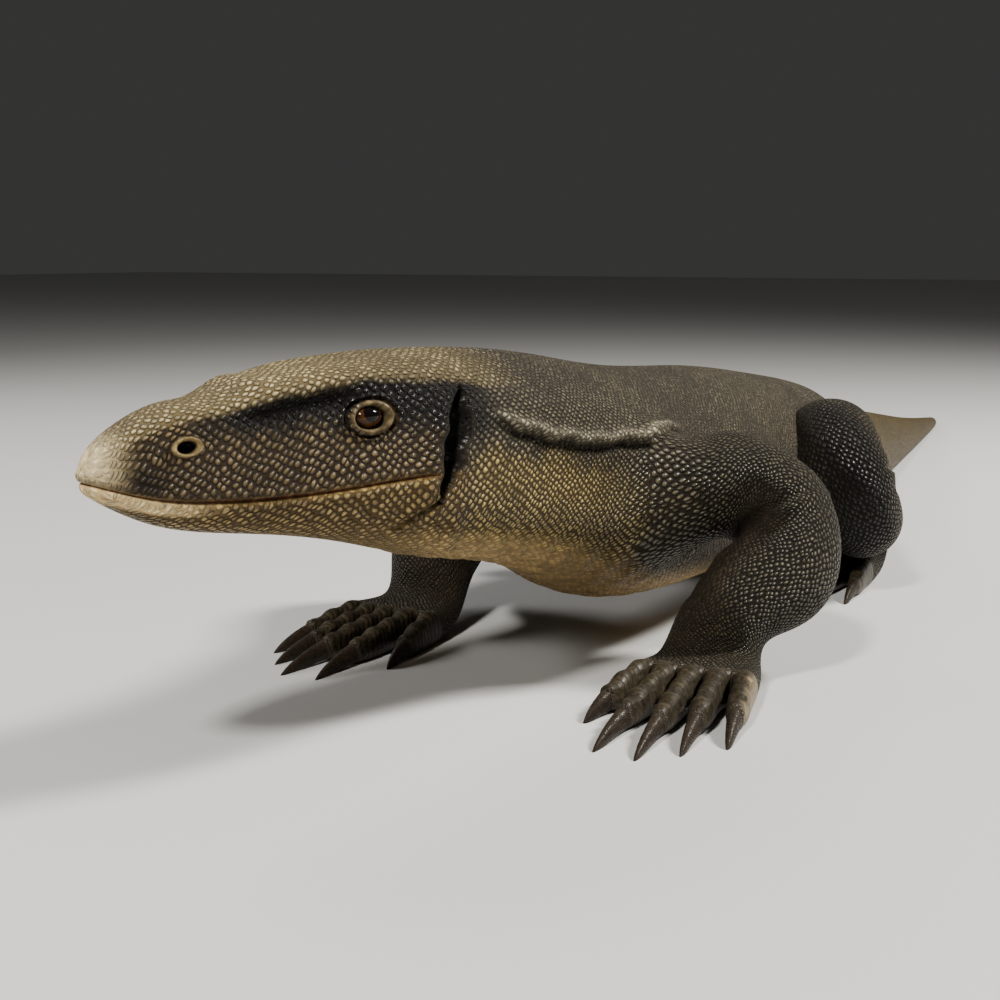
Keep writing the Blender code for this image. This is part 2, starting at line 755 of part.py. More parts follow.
clear()
body = add_object("carved_body", build_cage(), wood("carved_wood", (0.16, 0.11, 0.06), 0.45))
rounding = body.modifiers.new("rounding", "SUBSURF")
rounding.levels = 1
rounding.render_levels = 1
thinning = body.modifiers.new("thinning", "DECIMATE")
thinning.ratio = FACES_KEPT
body.modifiers.new("flat_faces", "TRIANGULATE")

lids = bmesh.new()
for side in (-1, 1):
    add_lid(lids, *EYE_SPOT, side)
bmesh.ops.recalc_face_normals(lids, faces=lids.faces[:])
cut_with(body, "eyelids", lids, "UNION")
cut_with(body, "face_hollows", face_cuts(), "DIFFERENCE")
cut_with(body, "sole_trim", floor_block(), "DIFFERENCE")

for name, side in (("eye_left", -1), ("eye_right", 1)):
    ball = bmesh.new()
    add_ball(ball, *EYE_SPOT, side, grown_eye(0), EYE_SUNK, 12, 8)
    bmesh.ops.recalc_face_normals(ball, faces=ball.faces[:])
    add_object(name, ball, wood("amber_glass", (0.20, 0.09, 0.02), 0.08))
moved = settle()
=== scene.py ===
import math

import bmesh
import bpy
import numpy as np
from mathutils import Matrix, Vector


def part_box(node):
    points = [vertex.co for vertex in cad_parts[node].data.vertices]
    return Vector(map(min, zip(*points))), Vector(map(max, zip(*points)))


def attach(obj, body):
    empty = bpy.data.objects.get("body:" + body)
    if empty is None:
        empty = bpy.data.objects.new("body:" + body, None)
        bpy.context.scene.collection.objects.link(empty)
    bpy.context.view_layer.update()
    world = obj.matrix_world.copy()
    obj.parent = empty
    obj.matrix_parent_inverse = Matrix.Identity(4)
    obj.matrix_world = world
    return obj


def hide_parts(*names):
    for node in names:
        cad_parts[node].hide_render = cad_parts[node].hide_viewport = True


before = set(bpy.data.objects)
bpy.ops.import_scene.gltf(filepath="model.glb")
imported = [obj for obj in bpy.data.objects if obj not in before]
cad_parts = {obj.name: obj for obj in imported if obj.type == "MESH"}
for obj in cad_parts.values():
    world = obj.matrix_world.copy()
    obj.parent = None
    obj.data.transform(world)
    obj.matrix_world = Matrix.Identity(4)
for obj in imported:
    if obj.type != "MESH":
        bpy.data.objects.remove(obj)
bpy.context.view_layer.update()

# the carving's sizes, in metres and degrees, as in its CAD
animal = {
    "shoulderHeight": 0.0950,
    "headLength": 0.0930,
    "headDepth": 0.0547,
    "headWidth": 0.0457,
    "headTurn": 20.0,
    "neckLength": 0.0770,
    "neckDepth": 0.0597,
    "neckWidth": 0.0432,
    "trunkLength": 0.2030,
    "trunkDepth": 0.0730,
    "trunkWidth": 0.0762,
    "tailLength": 0.5330,
    "tailDepth": 0.0508,
    "tailWidth": 0.0419,
    "tailSwing": 7.5,
    "foldHeight": 0.0034,
    "browHeight": 0.0029,
    "browPlace": 0.575,
    "soleTrim": 0.0008,
}
limbs = {
    "armSetback": 0.0127,
    "thighSetback": 0.1900,
    "rootLength": 0.0381,
    "armSizes": (0.0350, 0.0362, 0.0262),
    "thighSizes": (0.0370, 0.0300, 0.0240),
    "footWidth": 0.0370,
    "hindFootWidth": 0.0330,
    "footThickness": 0.0125,
    "soleAhead": 0.0175,
    "toeLength": 0.0290,
    "toeThickness": 0.0096,
    "clawLength": 0.0235,
    "crease": 0.0015,
}
face = {
    "eyeLength": 0.0098,
    "eyeOpening": 0.0064,
    "eyePlace": 0.72,
    "eyeColumn": 3.15,
    "eyeShowing": 0.0024,
    "nostrilPlace": 0.22,
    "nostrilColumn": 3.2,
    "nostrilLength": 0.0044,
    "mouthReach": 0.93,
    "mouthDepth": 0.0016,
    "mouthWidth": 0.00048,
    "slitTop": 0.0933,
    "slitHeight": 0.0280,
    "slitWidth": 0.0056,
    "slitDepth": 0.0040,
    "slitLean": 0.085,  # how far it leans forward going down, as a share of the head's length
    "sideFrom": 0.006,  # the slit is cut only further from the middle than this
}
beadSizes = {  # the spacing of the scales
    "snout": 0.00155,
    "head": 0.00185,
    "neck": 0.00148,
    "trunk": 0.00170,
    "tail": 0.0023,
    "leg": 0.00150,
}
slant = 1.414  # the rows of scales run slantwise

columns = 16
halfColumns = columns // 2
legSides = 12
ringFullness = 6 / (4 + 2 * math.cos(2 * math.pi / columns))
legFullness = 6 / (4 + 2 * math.cos(2 * math.pi / legSides))

headRows = (
    (0.00, 0.770, 0.16, 0.20),
    (0.06, 0.738, 0.29, 0.36),
    (0.14, 0.691, 0.45, 0.48),
    (0.23, 0.662, 0.55, 0.56),
    (0.35, 0.642, 0.63, 0.62),
    (0.47, 0.626, 0.70, 0.68),
    (0.61, 0.602, 0.79, 0.77),
    (0.78, 0.561, 0.89, 0.88),
    (0.97, 0.503, 1.00, 1.00),
)
mouthRows = ((0.00, 0.798), (0.14, 0.758), (0.35, 0.738), (0.61, 0.742), (0.80, 0.757), (0.93, 0.765))
neckRows = ((0.15, 0.475, 0.96, 1.03), (0.40, 0.435, 1.00, 1.02), (0.70, 0.355, 1.08, 1.20))
trunkRows = (
    (0.00, 0.240, 0.985, 0.84),
    (0.20, 0.150, 1.04, 0.95),
    (0.45, 0.137, 1.02, 1.00),
    (0.70, 0.160, 0.91, 0.90),
    (1.00, 0.190, 0.75, 0.76),
)
tailRows = (
    (0.10, 0.080, 1.02, 1.00),
    (0.20, 0.020, 0.98, 0.76),
    (0.33, 0.000, 0.86, 0.59),
    (0.57, 0.000, 0.53, 0.41),
    (0.80, 0.000, 0.28, 0.26),
    (1.00, 0.000, 0.09, 0.09),
)
foldRows = (
    (1.05, 3.05), (1.13, 3.2), (1.24, 3.4), (1.33, 3.5), (1.52, 3.5),
    (1.65, 3.3), (1.84, 3.0), (2.06, 2.8), (2.3, 2.7),
)
headSides = (0.00, 0.42, 0.82, 0.93, 1.00, 0.99, 0.90, 0.56, 0.00)
headHeights = (1.00, 0.97, 0.86, 0.46, 0.08, -0.32, -0.66, -0.94, -1.00)
headRings = (0.035, 0.10, 0.19, 0.29, 0.40, 0.51, 0.62, 0.73, 0.84, 0.95)
neckRings = (0.20, 0.47, 0.74)
flankRings = 4
tailRings = (0.06, 0.16, 0.29, 0.45, 0.63, 0.82, 0.97)
frontToes = ((0.66, 0.60, -11), (0.98, 1.02, -3), (1.00, 1.05, 2), (0.88, 0.88, 5), (0.68, 0.78, 9))
hindToes = ((0.64, 0.78, -12), (0.78, 0.86, -6), (0.86, 0.92, 0), (0.84, 0.86, 7), (0.60, 0.72, 16))
poses = {  # in shares of the trunk's length, its width and the shoulder's height
    ("arm", -1): (((0.1724, 0.7874, 0.5158), (0.0000, 0.6824, 0.2000)), -5),
    ("arm", 1): (((0.2365, 0.8136, 0.5053), (0.0837, 0.7743, 0.2000)), 3),
    ("thigh", -1): (((0.5813, 0.6955, 0.4842), (0.8522, 0.5643, 0.2474)), 11),
    ("thigh", 1): (((0.6355, 0.7546, 0.4947), (0.8867, 0.6955, 0.2474)), 4),
}

headLength = animal["headLength"]
neckLength = animal["neckLength"]
shoulderAt = headLength + neckLength
hipAt = shoulderAt + animal["trunkLength"]
spineEnd = hipAt + animal["tailLength"]


def smoothCurve(places, values, where):
    places = np.asarray(places, float)
    values = np.asarray(values, float)
    slopes = np.gradient(values, places)
    i = int(np.clip(np.searchsorted(places, where) - 1, 0, len(places) - 2))
    span = places[i + 1] - places[i]
    t = float(np.clip((where - places[i]) / span, 0, 1))
    return float(
        values[i] * (1 + 2 * t) * (1 - t) ** 2
        + slopes[i] * span * t * (1 - t) ** 2
        + values[i + 1] * t * t * (3 - 2 * t)
        - slopes[i + 1] * span * t * t * (1 - t)
    )


def smoothStep(low, high, x):
    t = np.clip((x - low) / (high - low), 0.0, 1.0)
    return t * t * (3 - 2 * t)


def fall(low, high, x):
    return 1 - smoothStep(low, high, x)


def hump(x, middle, width):
    return np.exp(-(((x - middle) / width) ** 2))


def bodyProfile():
    parts = (
        (headRows, 0, headLength, animal["headDepth"], animal["headWidth"]),
        (neckRows, headLength, neckLength, animal["neckDepth"], animal["neckWidth"]),
        (trunkRows, shoulderAt, animal["trunkLength"], animal["trunkDepth"], animal["trunkWidth"]),
        (tailRows, hipAt, animal["tailLength"], animal["tailDepth"], animal["tailWidth"]),
    )
    return np.array([
        (start + share * length, low * animal["shoulderHeight"], deep * depth, wide * width)
        for rows, start, length, depth, width in parts
        for share, low, deep, wide in rows
    ])


profile = bodyProfile()


def spinePlan():
    turns = (
        (0, -animal["headTurn"]),
        (0.85 * headLength, -animal["headTurn"]),
        (headLength + 0.20 * neckLength, -0.55 * animal["headTurn"]),
        (headLength + 0.60 * neckLength, 0.15 * animal["headTurn"]),
        (shoulderAt, 0),
        (hipAt, 0),
        (hipAt + 0.15 * animal["tailLength"], animal["tailSwing"]),
        (spineEnd, animal["tailSwing"]),
    )
    along = np.linspace(0, spineEnd, 1200)
    heading = np.radians(np.interp(along, *zip(*turns)))
    step = along[1] - along[0]
    x = np.concatenate([[0], np.cumsum(np.cos(heading[:-1]) * step)])
    y = np.concatenate([[0], np.cumsum(np.sin(heading[:-1]) * step)])
    return along, x - np.interp(shoulderAt, along, x), y - np.interp(shoulderAt, along, y), heading


plan = spinePlan()


def section(place):
    along, x, y, heading = plan
    low = smoothCurve(profile[:, 0], profile[:, 1], place)
    halfDepth = smoothCurve(profile[:, 0], profile[:, 2], place) / 2
    halfWidth = smoothCurve(profile[:, 0], profile[:, 3], place) / 2
    turn = np.interp(place, along, heading)
    middle = Vector((np.interp(place, along, x), np.interp(place, along, y), max(low, 0) + halfDepth))
    left = Vector((math.sin(turn), -math.cos(turn), 0))
    return middle, left, halfDepth, halfWidth


def sectionShape(place, column):
    turn = column / columns * 2 * math.pi
    side = math.sin(turn)
    height = math.cos(turn)
    mirrored = min(column, columns - column)
    headSide = float(np.interp(mirrored, range(len(headSides)), headSides))
    headSide = math.copysign(headSide, side if side else 1)
    headHeight = float(np.interp(mirrored, range(len(headHeights)), headHeights))
    head = fall(0.80 * headLength, headLength + 0.35 * neckLength, place)
    head *= 1 - 0.6 * fall(0.0, 0.22 * headLength, place)
    side += (headSide - side) * head
    height += (headHeight - height) * head
    tail = smoothStep(hipAt, hipAt + 0.12 * animal["tailLength"], place)
    side *= 1 - 0.30 * tail * height
    trunk = smoothStep(headLength, shoulderAt, place)
    trunk *= fall(hipAt, hipAt + 0.1 * animal["tailLength"], place)
    side *= 1 - 0.07 * trunk * height
    return side, height


def onBody(place, column):
    middle, left, halfDepth, halfWidth = section(place)
    side, height = sectionShape(place, column)
    point = middle + left * (side * halfWidth)
    point.z += height * halfDepth
    neck = smoothStep(headLength, headLength + 0.3 * neckLength, place)
    neck *= fall(shoulderAt, shoulderAt + 0.2 * animal["trunkLength"], place)
    mirrored = min(column, columns - column)
    fold = neck * (hump(mirrored, 3.2, 0.55) - 0.8 * hump(mirrored, 4.2, 0.55))
    nearBrow = hump(place / headLength, animal["browPlace"], 0.11)
    nearEye = hump(place / headLength, face["eyePlace"], 0.13)
    brow = (nearBrow + 0.3 * nearEye) * hump(mirrored, 2.0, 0.6) - 0.3 * nearBrow * hump(mirrored, 0, 0.9)
    brow -= 0.4 * nearEye * hump(mirrored, face["eyeColumn"], 0.6)
    out = (left * side + Vector((0, 0, height))).normalized()
    return point + out * float(fold * animal["foldHeight"] + brow * animal["browHeight"]), out


def ringPlaces():
    step = limbs["rootLength"] / 3
    armRings = [shoulderAt + limbs["armSetback"] + (i - 1.5) * step for i in range(4)]
    thighRings = [shoulderAt + limbs["thighSetback"] + (i - 1.5) * step for i in range(4)]
    places = [share * headLength for share in headRings]
    places += [headLength + share * neckLength for share in neckRings]
    firstArm = len(places)
    places += armRings
    gap = thighRings[0] - armRings[-1]
    places += [armRings[-1] + gap * (i + 1) / (flankRings + 1) for i in range(flankRings)]
    firstThigh = len(places)
    places += thighRings
    places += [thighRings[-1] + share * (spineEnd - thighRings[-1]) for share in tailRings]
    return places, firstArm, firstThigh


def beadSizeAt(place):
    places = (0, 0.35 * headLength, headLength, headLength + 0.4 * neckLength, shoulderAt, hipAt, spineEnd)
    names = ("snout", "head", "head", "neck", "neck", "trunk", "tail")
    return float(np.interp(place, places, [beadSizes[name] for name in names]))


def beadsAlong(places):  # how many beads lie between the snout tip and each place
    fine = np.linspace(0, spineEnd, 3000)
    rate = np.array([1 / beadSizeAt(p) for p in fine])
    total = np.concatenate([[0], np.cumsum((rate[1:] + rate[:-1]) / 2 * np.diff(fine))])
    return np.interp(places, fine, total)


class Cage:  # each face keeps its corners' bead coordinates and places for the UV maps
    def __init__(self):
        self.mesh = bmesh.new()
        self.beads = self.mesh.loops.layers.uv.new("beadMap")
        self.places = self.mesh.loops.layers.uv.new("placeMap")

    def face(self, verts, beads, places, part):
        made = self.mesh.faces.new(verts)
        made.material_index = part
        for loop, bead, place in zip(made.loops, beads, places):
            loop[self.beads].uv = bead
            loop[self.places].uv = place


def corners(left, right, near, far):  # of one face on a map
    return [(left, near), (right, near), (right, far), (left, far)]


partSkin, partLeg, partToe, partClaw = range(4)


def closeSnout(cage, ring):
    mesh = cage.mesh
    tip = section(0)[0]
    count = columns // 4
    edge = [ring[(columns // 8 + i) % columns] for i in range(columns)]
    grid = {}
    for i in range(count + 1):
        grid[i, 0] = edge[i]
        grid[count, i] = edge[count + i]
        grid[count - i, count] = edge[2 * count + i]
        if i < count:
            grid[0, count - i] = edge[(3 * count + i) % columns]
    centre = sum((v.co for v in ring), Vector()) / columns
    forward = tip - centre
    for i in range(1, count):
        for j in range(1, count):
            a, b = i / count, j / count
            flat = (
                grid[i, 0].co * (1 - b) + grid[i, count].co * b
                + grid[0, j].co * (1 - a) + grid[count, j].co * a
                - grid[0, 0].co * (1 - a) * (1 - b) - grid[count, 0].co * a * (1 - b)
                - grid[0, count].co * (1 - a) * b - grid[count, count].co * a * b
            )
            bulge = (math.sin(math.pi * a) * math.sin(math.pi * b)) ** 0.5
            grid[i, j] = mesh.verts.new(flat + forward * (1.15 * bulge))
    left = section(0)[1]
    for i in range(count):
        for j in range(count):
            verts = (grid[i, j], grid[i + 1, j], grid[i + 1, j + 1], grid[i, j + 1])
            local = [((v.co - centre).dot(left), v.co.z - centre.z) for v in verts]
            beads = [(-s / beadSizes["snout"] / slant, -h / beadSizes["snout"] / slant) for s, h in local]
            places = [(4 - 4 * h / 0.006, 0) for s, h in local]
            cage.face(verts, beads, places, partSkin)


# joins two loops where their vertices lie nearest; around is the bead coordinate of each step
def bridge(cage, first, second, around, alongs, places, part):
    count = len(first)
    best = None
    for order in (second, second[::-1]):
        for shift in range(count):
            turned = [order[(i + shift) % count] for i in range(count)]
            apart = sum((a.co - b.co).length for a, b in zip(first, turned))
            if best is None or apart < best[0]:
                best = (apart, turned)
    turned = best[1]
    for i in range(count):
        j = (i + 1) % count
        beads = corners(i * around, (i + 1) * around, *alongs)
        cage.face((first[i], first[j], turned[j], turned[i]), beads, corners(i, i + 1, *places), part)
    return turned


def legRing(mesh, centre, axis, out, alongOut, across):
    side = axis.cross(out).normalized()
    points = []
    for i in range(legSides):
        turn = math.radians(15 + 360 / legSides * i)
        place = centre + out * (math.cos(turn) * alongOut * legFullness)
        points.append(mesh.verts.new(place + side * (math.sin(turn) * across * legFullness)))
    return points


def growToe(cage, root, heading, length, claw, breadth, number):
    mesh = cage.mesh
    start = sum((v.co for v in root), Vector()) / 4
    forward = Vector((-math.cos(heading), math.sin(heading), 0))
    right = Vector((math.sin(heading), math.cos(heading), 0))
    rows = (
        (0.45 * length, 0.45 * breadth, 0.0, 1.20, partToe),
        (0.92 * length, 0.50 * breadth, 0.0, 0.96, partToe),
        (length + 0.10 * claw, 0.33 * breadth, 0.14, 0.86, partToe),
        (length + 0.60 * claw, 0.22 * breadth, 0.05, 0.62, partClaw),
        (length + 1.00 * claw, 0.07 * breadth, -0.06, 0.12, partClaw),
    )
    base = Vector((start.x, start.y, 0))
    last = root
    reached = 0
    for ahead, wide, low, high, part in rows:
        middle = base + forward * ahead
        ring = [
            mesh.verts.new(middle + right * (sign * wide) + Vector((0, 0, level * limbs["toeThickness"])))
            for sign, level in ((-1, high), (1, high), (1, low), (-1, low))
        ]
        span = (reached / 0.001, ahead / 0.001)  # in millimetres
        for i in range(4):
            j = (i + 1) % 4
            where = corners(number, number, reached, ahead)
            cage.face((last[i], last[j], ring[j], ring[i]), corners(i * 4, i * 4 + 4, *span), where, part)
        last = ring
        reached = ahead
    cage.face(last, [(0, span[1])] * 4, [(number, reached)] * 4, partClaw)


joins = []  # each elbow's and knee's middle, the way down the leg there and the reach of its creases


def growLeg(cage, root, side, joints, sizes, width, toes):
    mesh = cage.mesh
    elbow, wrist, heading = joints
    upper, lower, end = (size / 2 for size in sizes)
    start = sum((v.co for v in root), Vector()) / len(root)
    downUpper = (elbow - start).normalized()
    downLower = (wrist - elbow).normalized()
    hinge = downUpper.cross(downLower).normalized()
    turn = downUpper.angle(downLower)
    outward = hinge.cross(downUpper) * -1
    middleOut = Matrix.Rotation(turn / 2, 3, hinge) @ outward
    crease = limbs["crease"]
    pivot = elbow - middleOut * (upper + crease)
    joins.append((pivot, hinge.cross(middleOut), 2.2 * upper))
    first = pivot + outward * (upper + crease)
    bead = beadSizes["leg"] * slant
    around = round(2 * math.pi * lower / bead) / legSides
    state = {"loop": root, "centre": start, "along": 0.0}

    def grow(ring, centre):
        step = (centre - state["centre"]).length
        ahead = state["along"] + max(step, 0.004)
        span = (state["along"], ahead)
        beads = [distance / bead for distance in span]
        state["loop"] = bridge(cage, state["loop"], ring, around, beads, span, partLeg)
        state["along"] = ahead
        state["centre"] = centre

    centre = start.lerp(first, 0.5)
    grow(legRing(mesh, centre, downUpper, outward, 0.90 * upper, upper), centre)
    for step in (0, 0.5, 1):
        spin = Matrix.Rotation(turn * step, 3, hinge)
        thick = upper + (lower - upper) * step
        centre = pivot + (spin @ outward) * (thick + crease)
        wide = thick * (1.06 if step == 0.5 else 1.0)
        grow(legRing(mesh, centre, spin @ downUpper, spin @ outward, wide, thick), centre)
    last = pivot + (Matrix.Rotation(turn, 3, hinge) @ outward) * (lower + crease)
    forward = Vector((-math.cos(heading), math.sin(heading), 0))
    right = Vector((math.sin(heading), math.cos(heading), 0))
    shin = (wrist - last).normalized()
    back = (Matrix.Rotation(turn, 3, hinge) @ outward).normalized()
    for step in (0.5, 1.0):
        thick = lower + (end - lower) * step
        axis = shin.lerp(Vector((0, 0, -1)), 0.6 * step * step).normalized()
        out = (back - axis * back.dot(axis)).normalized()
        centre = last.lerp(wrist, step)
        grow(legRing(mesh, centre, axis, out, thick, 1.05 * thick), centre)
    heel = Vector((wrist.x, wrist.y, 0)) + forward * (0.12 * width)
    axis = (forward + Vector((0, 0, -0.55))).normalized()
    out = (Vector((0, 0, 1)) - axis * axis.z).normalized()
    half = 0.60 * limbs["footThickness"]
    centre = heel + Vector((0, 0, half * legFullness * out.z))
    grow(legRing(mesh, centre, axis, out, half, 0.42 * width), centre)
    front = Vector((wrist.x, wrist.y, 0)) + forward * (0.06 * width + limbs["soleAhead"])
    above, below = [], []
    for i in range(6):
        across = (i / 5 - 0.5) * width * side
        bow = forward * (0.10 * width * (1 - (2 * i / 5 - 1) ** 2))
        place = front + right * across + bow
        above.append(mesh.verts.new(place + Vector((0, 0, limbs["footThickness"]))))
        below.append(mesh.verts.new(place))
    grow(above + below[::-1], front)
    for i, (reach, claw, splay) in enumerate(toes):
        near, far = (i, i + 1) if side > 0 else (i + 1, i)
        growToe(
            cage, [above[near], above[far], below[far], below[near]],
            heading + math.radians(splay) * side, reach * limbs["toeLength"],
            claw * limbs["clawLength"], width / 5, i,
        )


def buildCage():
    cage = Cage()
    mesh = cage.mesh
    places, firstArm, firstThigh = ringPlaces()
    alongs = beadsAlong(places) / slant
    rings, arcs = [], []
    for place in places:
        middle = section(place)[0]
        points = [middle + (onBody(place, c)[0] - middle) * ringFullness for c in range(columns)]
        rings.append([mesh.verts.new(p) for p in points])
        steps = [(points[(c + 1) % columns] - points[c]).length for c in range(columns)]
        size = beadSizeAt(place) * slant
        arcs.append([sum(steps[:c]) / size for c in range(halfColumns + 1)])
    quarter = columns // 4
    openings = {}
    for name, first in (("arm", firstArm), ("thigh", firstThigh)):
        openings[name, -1] = (first, quarter - 1)
        openings[name, 1] = (first, columns - quarter - 2)
    holes = {
        (ring + i, (column + j) % columns)
        for ring, column in openings.values() for i in range(3) for j in range(3)
    }
    for i in range(len(rings) - 1):
        for j in range(columns):
            if (i, j) in holes:
                continue
            k = (j + 1) % columns
            sign, near, far = (-1, j, j + 1) if j < halfColumns else (1, columns - j, columns - j - 1)
            verts = (rings[i][j], rings[i][k], rings[i + 1][k], rings[i + 1][j])
            beads = [
                (sign * arcs[i][near], alongs[i]), (sign * arcs[i][far], alongs[i]),
                (sign * arcs[i + 1][far], alongs[i + 1]), (sign * arcs[i + 1][near], alongs[i + 1]),
            ]
            cage.face(verts, beads, corners(near, far, places[i], places[i + 1]), partSkin)
    closeSnout(cage, rings[0])
    cage.face(rings[-1], [(0, alongs[-1])] * columns, [(4, places[-1])] * columns, partSkin)
    for (name, side), (ring, column) in openings.items():
        loop = [rings[ring][(column + j) % columns] for j in range(4)]
        loop += [rings[ring + i][(column + 3) % columns] for i in (1, 2)]
        loop += [rings[ring + 3][(column + j) % columns] for j in (3, 2, 1, 0)]
        loop += [rings[ring + i][column] for i in (2, 1)]
        joints, turn = poses[name, side]
        length, width, height = (animal[size] for size in ("trunkLength", "trunkWidth", "shoulderHeight"))
        joints = [Vector((x * length, side * out * width, z * height)) for x, out, z in joints]
        front = name == "arm"
        growLeg(
            cage, loop, side, (*joints, math.radians(turn)), limbs["armSizes" if front else "thighSizes"],
            limbs["footWidth" if front else "hindFootWidth"], frontToes if front else hindToes,
        )
    loose = [v for v in mesh.verts if not v.link_faces]
    bmesh.ops.delete(mesh, geom=loose, context="VERTS")
    bmesh.ops.recalc_face_normals(mesh, faces=mesh.faces[:])
    return mesh


def makeObject(name, mesh, materials):
    data = bpy.data.meshes.new(name)
    mesh.to_mesh(data)
    mesh.free()
    for material in materials:
        data.materials.append(material)
    made = bpy.data.objects.new(name, data)
    bpy.context.scene.collection.objects.link(made)
    return made


def frameAt(place, column, side):
    point, out = onBody(place, column if side < 0 else columns - column)
    forward = section(place)[1].cross(Vector((0, 0, -1)))
    up = out.cross(forward).normalized()
    forward = up.cross(out).normalized()
    return Matrix((forward, up, out)).transposed(), point


def newMaterial(name):
    material = bpy.data.materials.new(name)
    material.use_nodes = True
    return material, material.node_tree, material.node_tree.nodes["Principled BSDF"]


def addNode(tree, kind, inputs, **settings):  # inputs holds each socket's value, or the output that feeds it
    node = tree.nodes.new("ShaderNode" + kind)
    for name, value in settings.items():
        setattr(node, name, value)
    for key, value in inputs.items():
        if isinstance(value, bpy.types.NodeSocket):
            tree.links.new(value, node.inputs[key])
        else:
            node.inputs[key].default_value = value
    return node


def mathNode(tree, operation, a, b=0.0, clamp=False):
    return addNode(tree, "Math", {0: a, 1: b}, operation=operation, use_clamp=clamp).outputs[0]


def plus(tree, a, b, clamp=False):
    return mathNode(tree, "ADD", a, b, clamp)


def minus(tree, a, b, clamp=False):
    return mathNode(tree, "SUBTRACT", a, b, clamp)


def times(tree, a, b):
    return mathNode(tree, "MULTIPLY", a, b)


def mixValue(tree, factor, a, b):
    return addNode(tree, "Mix", {0: factor, 2: a, 3: b}).outputs[0]


def mixColour(tree, factor, a, b, blend="MIX"):
    a, b = ((*tone, 1) if isinstance(tone, tuple) else tone for tone in (a, b))
    return addNode(tree, "Mix", {0: factor, 6: a, 7: b}, data_type="RGBA", blend_type=blend).outputs[2]


def rampNode(tree, value, *stops):  # two stops of the value, then what it becomes there
    inputs = dict(enumerate((value, *stops)))
    return addNode(tree, "MapRange", inputs, interpolation_type="SMOOTHSTEP").outputs[0]


def newGroup(name, inputs, outputs):
    group = bpy.data.node_groups.new(name, "ShaderNodeTree")
    for labels, way in ((inputs, "INPUT"), (outputs, "OUTPUT")):
        for label in labels:
            kind = "NodeSocketVector" if label == "Vector" else "NodeSocketFloat"
            group.interface.new_socket(name=label, in_out=way, socket_type=kind)
    return group, group.nodes.new("NodeGroupInput").outputs, group.nodes.new("NodeGroupOutput").inputs


# colours are linear: the worn top of a bead, then the stain left in the groove round it
skinTones = {
    "base": ((0.160, 0.134, 0.084), (0.020, 0.015, 0.009)),
    "muzzle": ((0.165, 0.115, 0.052), (0.022, 0.013, 0.006)),
    # partly the dark band of the pattern, partly painted shadow under the ridge from the nostril to the eye
    "templeBandAndShade": ((0.014, 0.011, 0.007), (0.002, 0.001, 0.001)),
    # the crown's own pale khaki, made lighter still as painted light on the top of the head
    "crownPaleAndLit": ((0.480, 0.390, 0.195), (0.125, 0.090, 0.040)),
    # the snout tip's own pale cream, brightened further as a painted highlight
    "snout": ((0.950, 0.790, 0.480), (0.760, 0.590, 0.320)),
    "jaw": ((0.340, 0.235, 0.084), (0.060, 0.036, 0.013)),
    "lip": ((0.940, 0.740, 0.400), (0.600, 0.410, 0.180)),
    "throat": ((0.430, 0.320, 0.108), (0.052, 0.034, 0.012)),
    "belly": ((0.250, 0.170, 0.068), (0.150, 0.096, 0.036)),
    "tail": ((0.160, 0.112, 0.034), (0.040, 0.027, 0.009)),
    "leg": ((0.074, 0.060, 0.034), (0.009, 0.007, 0.004)),
    "toe": ((0.040, 0.031, 0.018), (0.005, 0.003, 0.002)),
    # painted shade: the legs' inner and front faces, turned away from the key lamp
    "innerShade": ((0.026, 0.018, 0.009), (0.010, 0.006, 0.003)),
    # painted highlight: a pale tone along the crest of the neck fold
    "crestHighlight": ((0.580, 0.530, 0.390), (0.180, 0.150, 0.098)),
    # painted shade: near black in the crease under the neck fold, on the slit's walls and on the hind legs'
    # front faces, and also a dark blotch behind the snout
    "crease": ((0.013, 0.009, 0.005), (0.003, 0.002, 0.001)),
    "lid": ((0.150, 0.108, 0.050), (0.026, 0.017, 0.008)),
    "ring": ((0.300, 0.220, 0.095), (0.140, 0.096, 0.040)),
    "gash": ((0.100, 0.020, 0.008), (0.060, 0.011, 0.005)),
    # painted shade: near black inside the eye sockets, nostrils, slit and nick
    "holeShade": ((0.004, 0.003, 0.002), (0.002, 0.001, 0.001)),
    "claw": ((0.036, 0.024, 0.014), (0.008, 0.005, 0.003)),
    "bare": ((0.210, 0.155, 0.082), (0.070, 0.045, 0.021)),
}
skin = {
    "irregular": 0.40,
    "wander": 1.1,
    "wanderScale": 0.22,
    "groove": 0.16,
    "domeReach": 1.92,
    "domeFullness": 0.9,
    "tipStops": (0.20, 0.92),  # the heights between which a bead turns from groove to worn tip
    "beadHeight": 0.00145,
    "bandLength": 2.3,  # in millimetres
    "bandBend": 0.35,
    "bandHeight": 0.80,  # beside the beads
    "foldSpacing": 0.16,
    "foldHeight": 0.32,
    "cutScale": 900,
    "cutHeight": 0.12,
    "patinaScale": 45,
    "beadShade": (0.55, 1.25),  # darkest and lightest, as for the two below
    "broadShade": (0.80, 1.12),
    "fineShade": (0.85, 1.10),
    "smoothWear": (0.5, 0.45),  # beads lost on smooth parts, and the wear there in their place
    "roughTip": 0.17,
    "roughGroove": 0.80,
    "rougher": {"patina": 0.10, "smooth": 0.08, "leg": 0.12, "toe": 0.10},
    "crestShine": 0.25,
    "ior": 1.32,
}


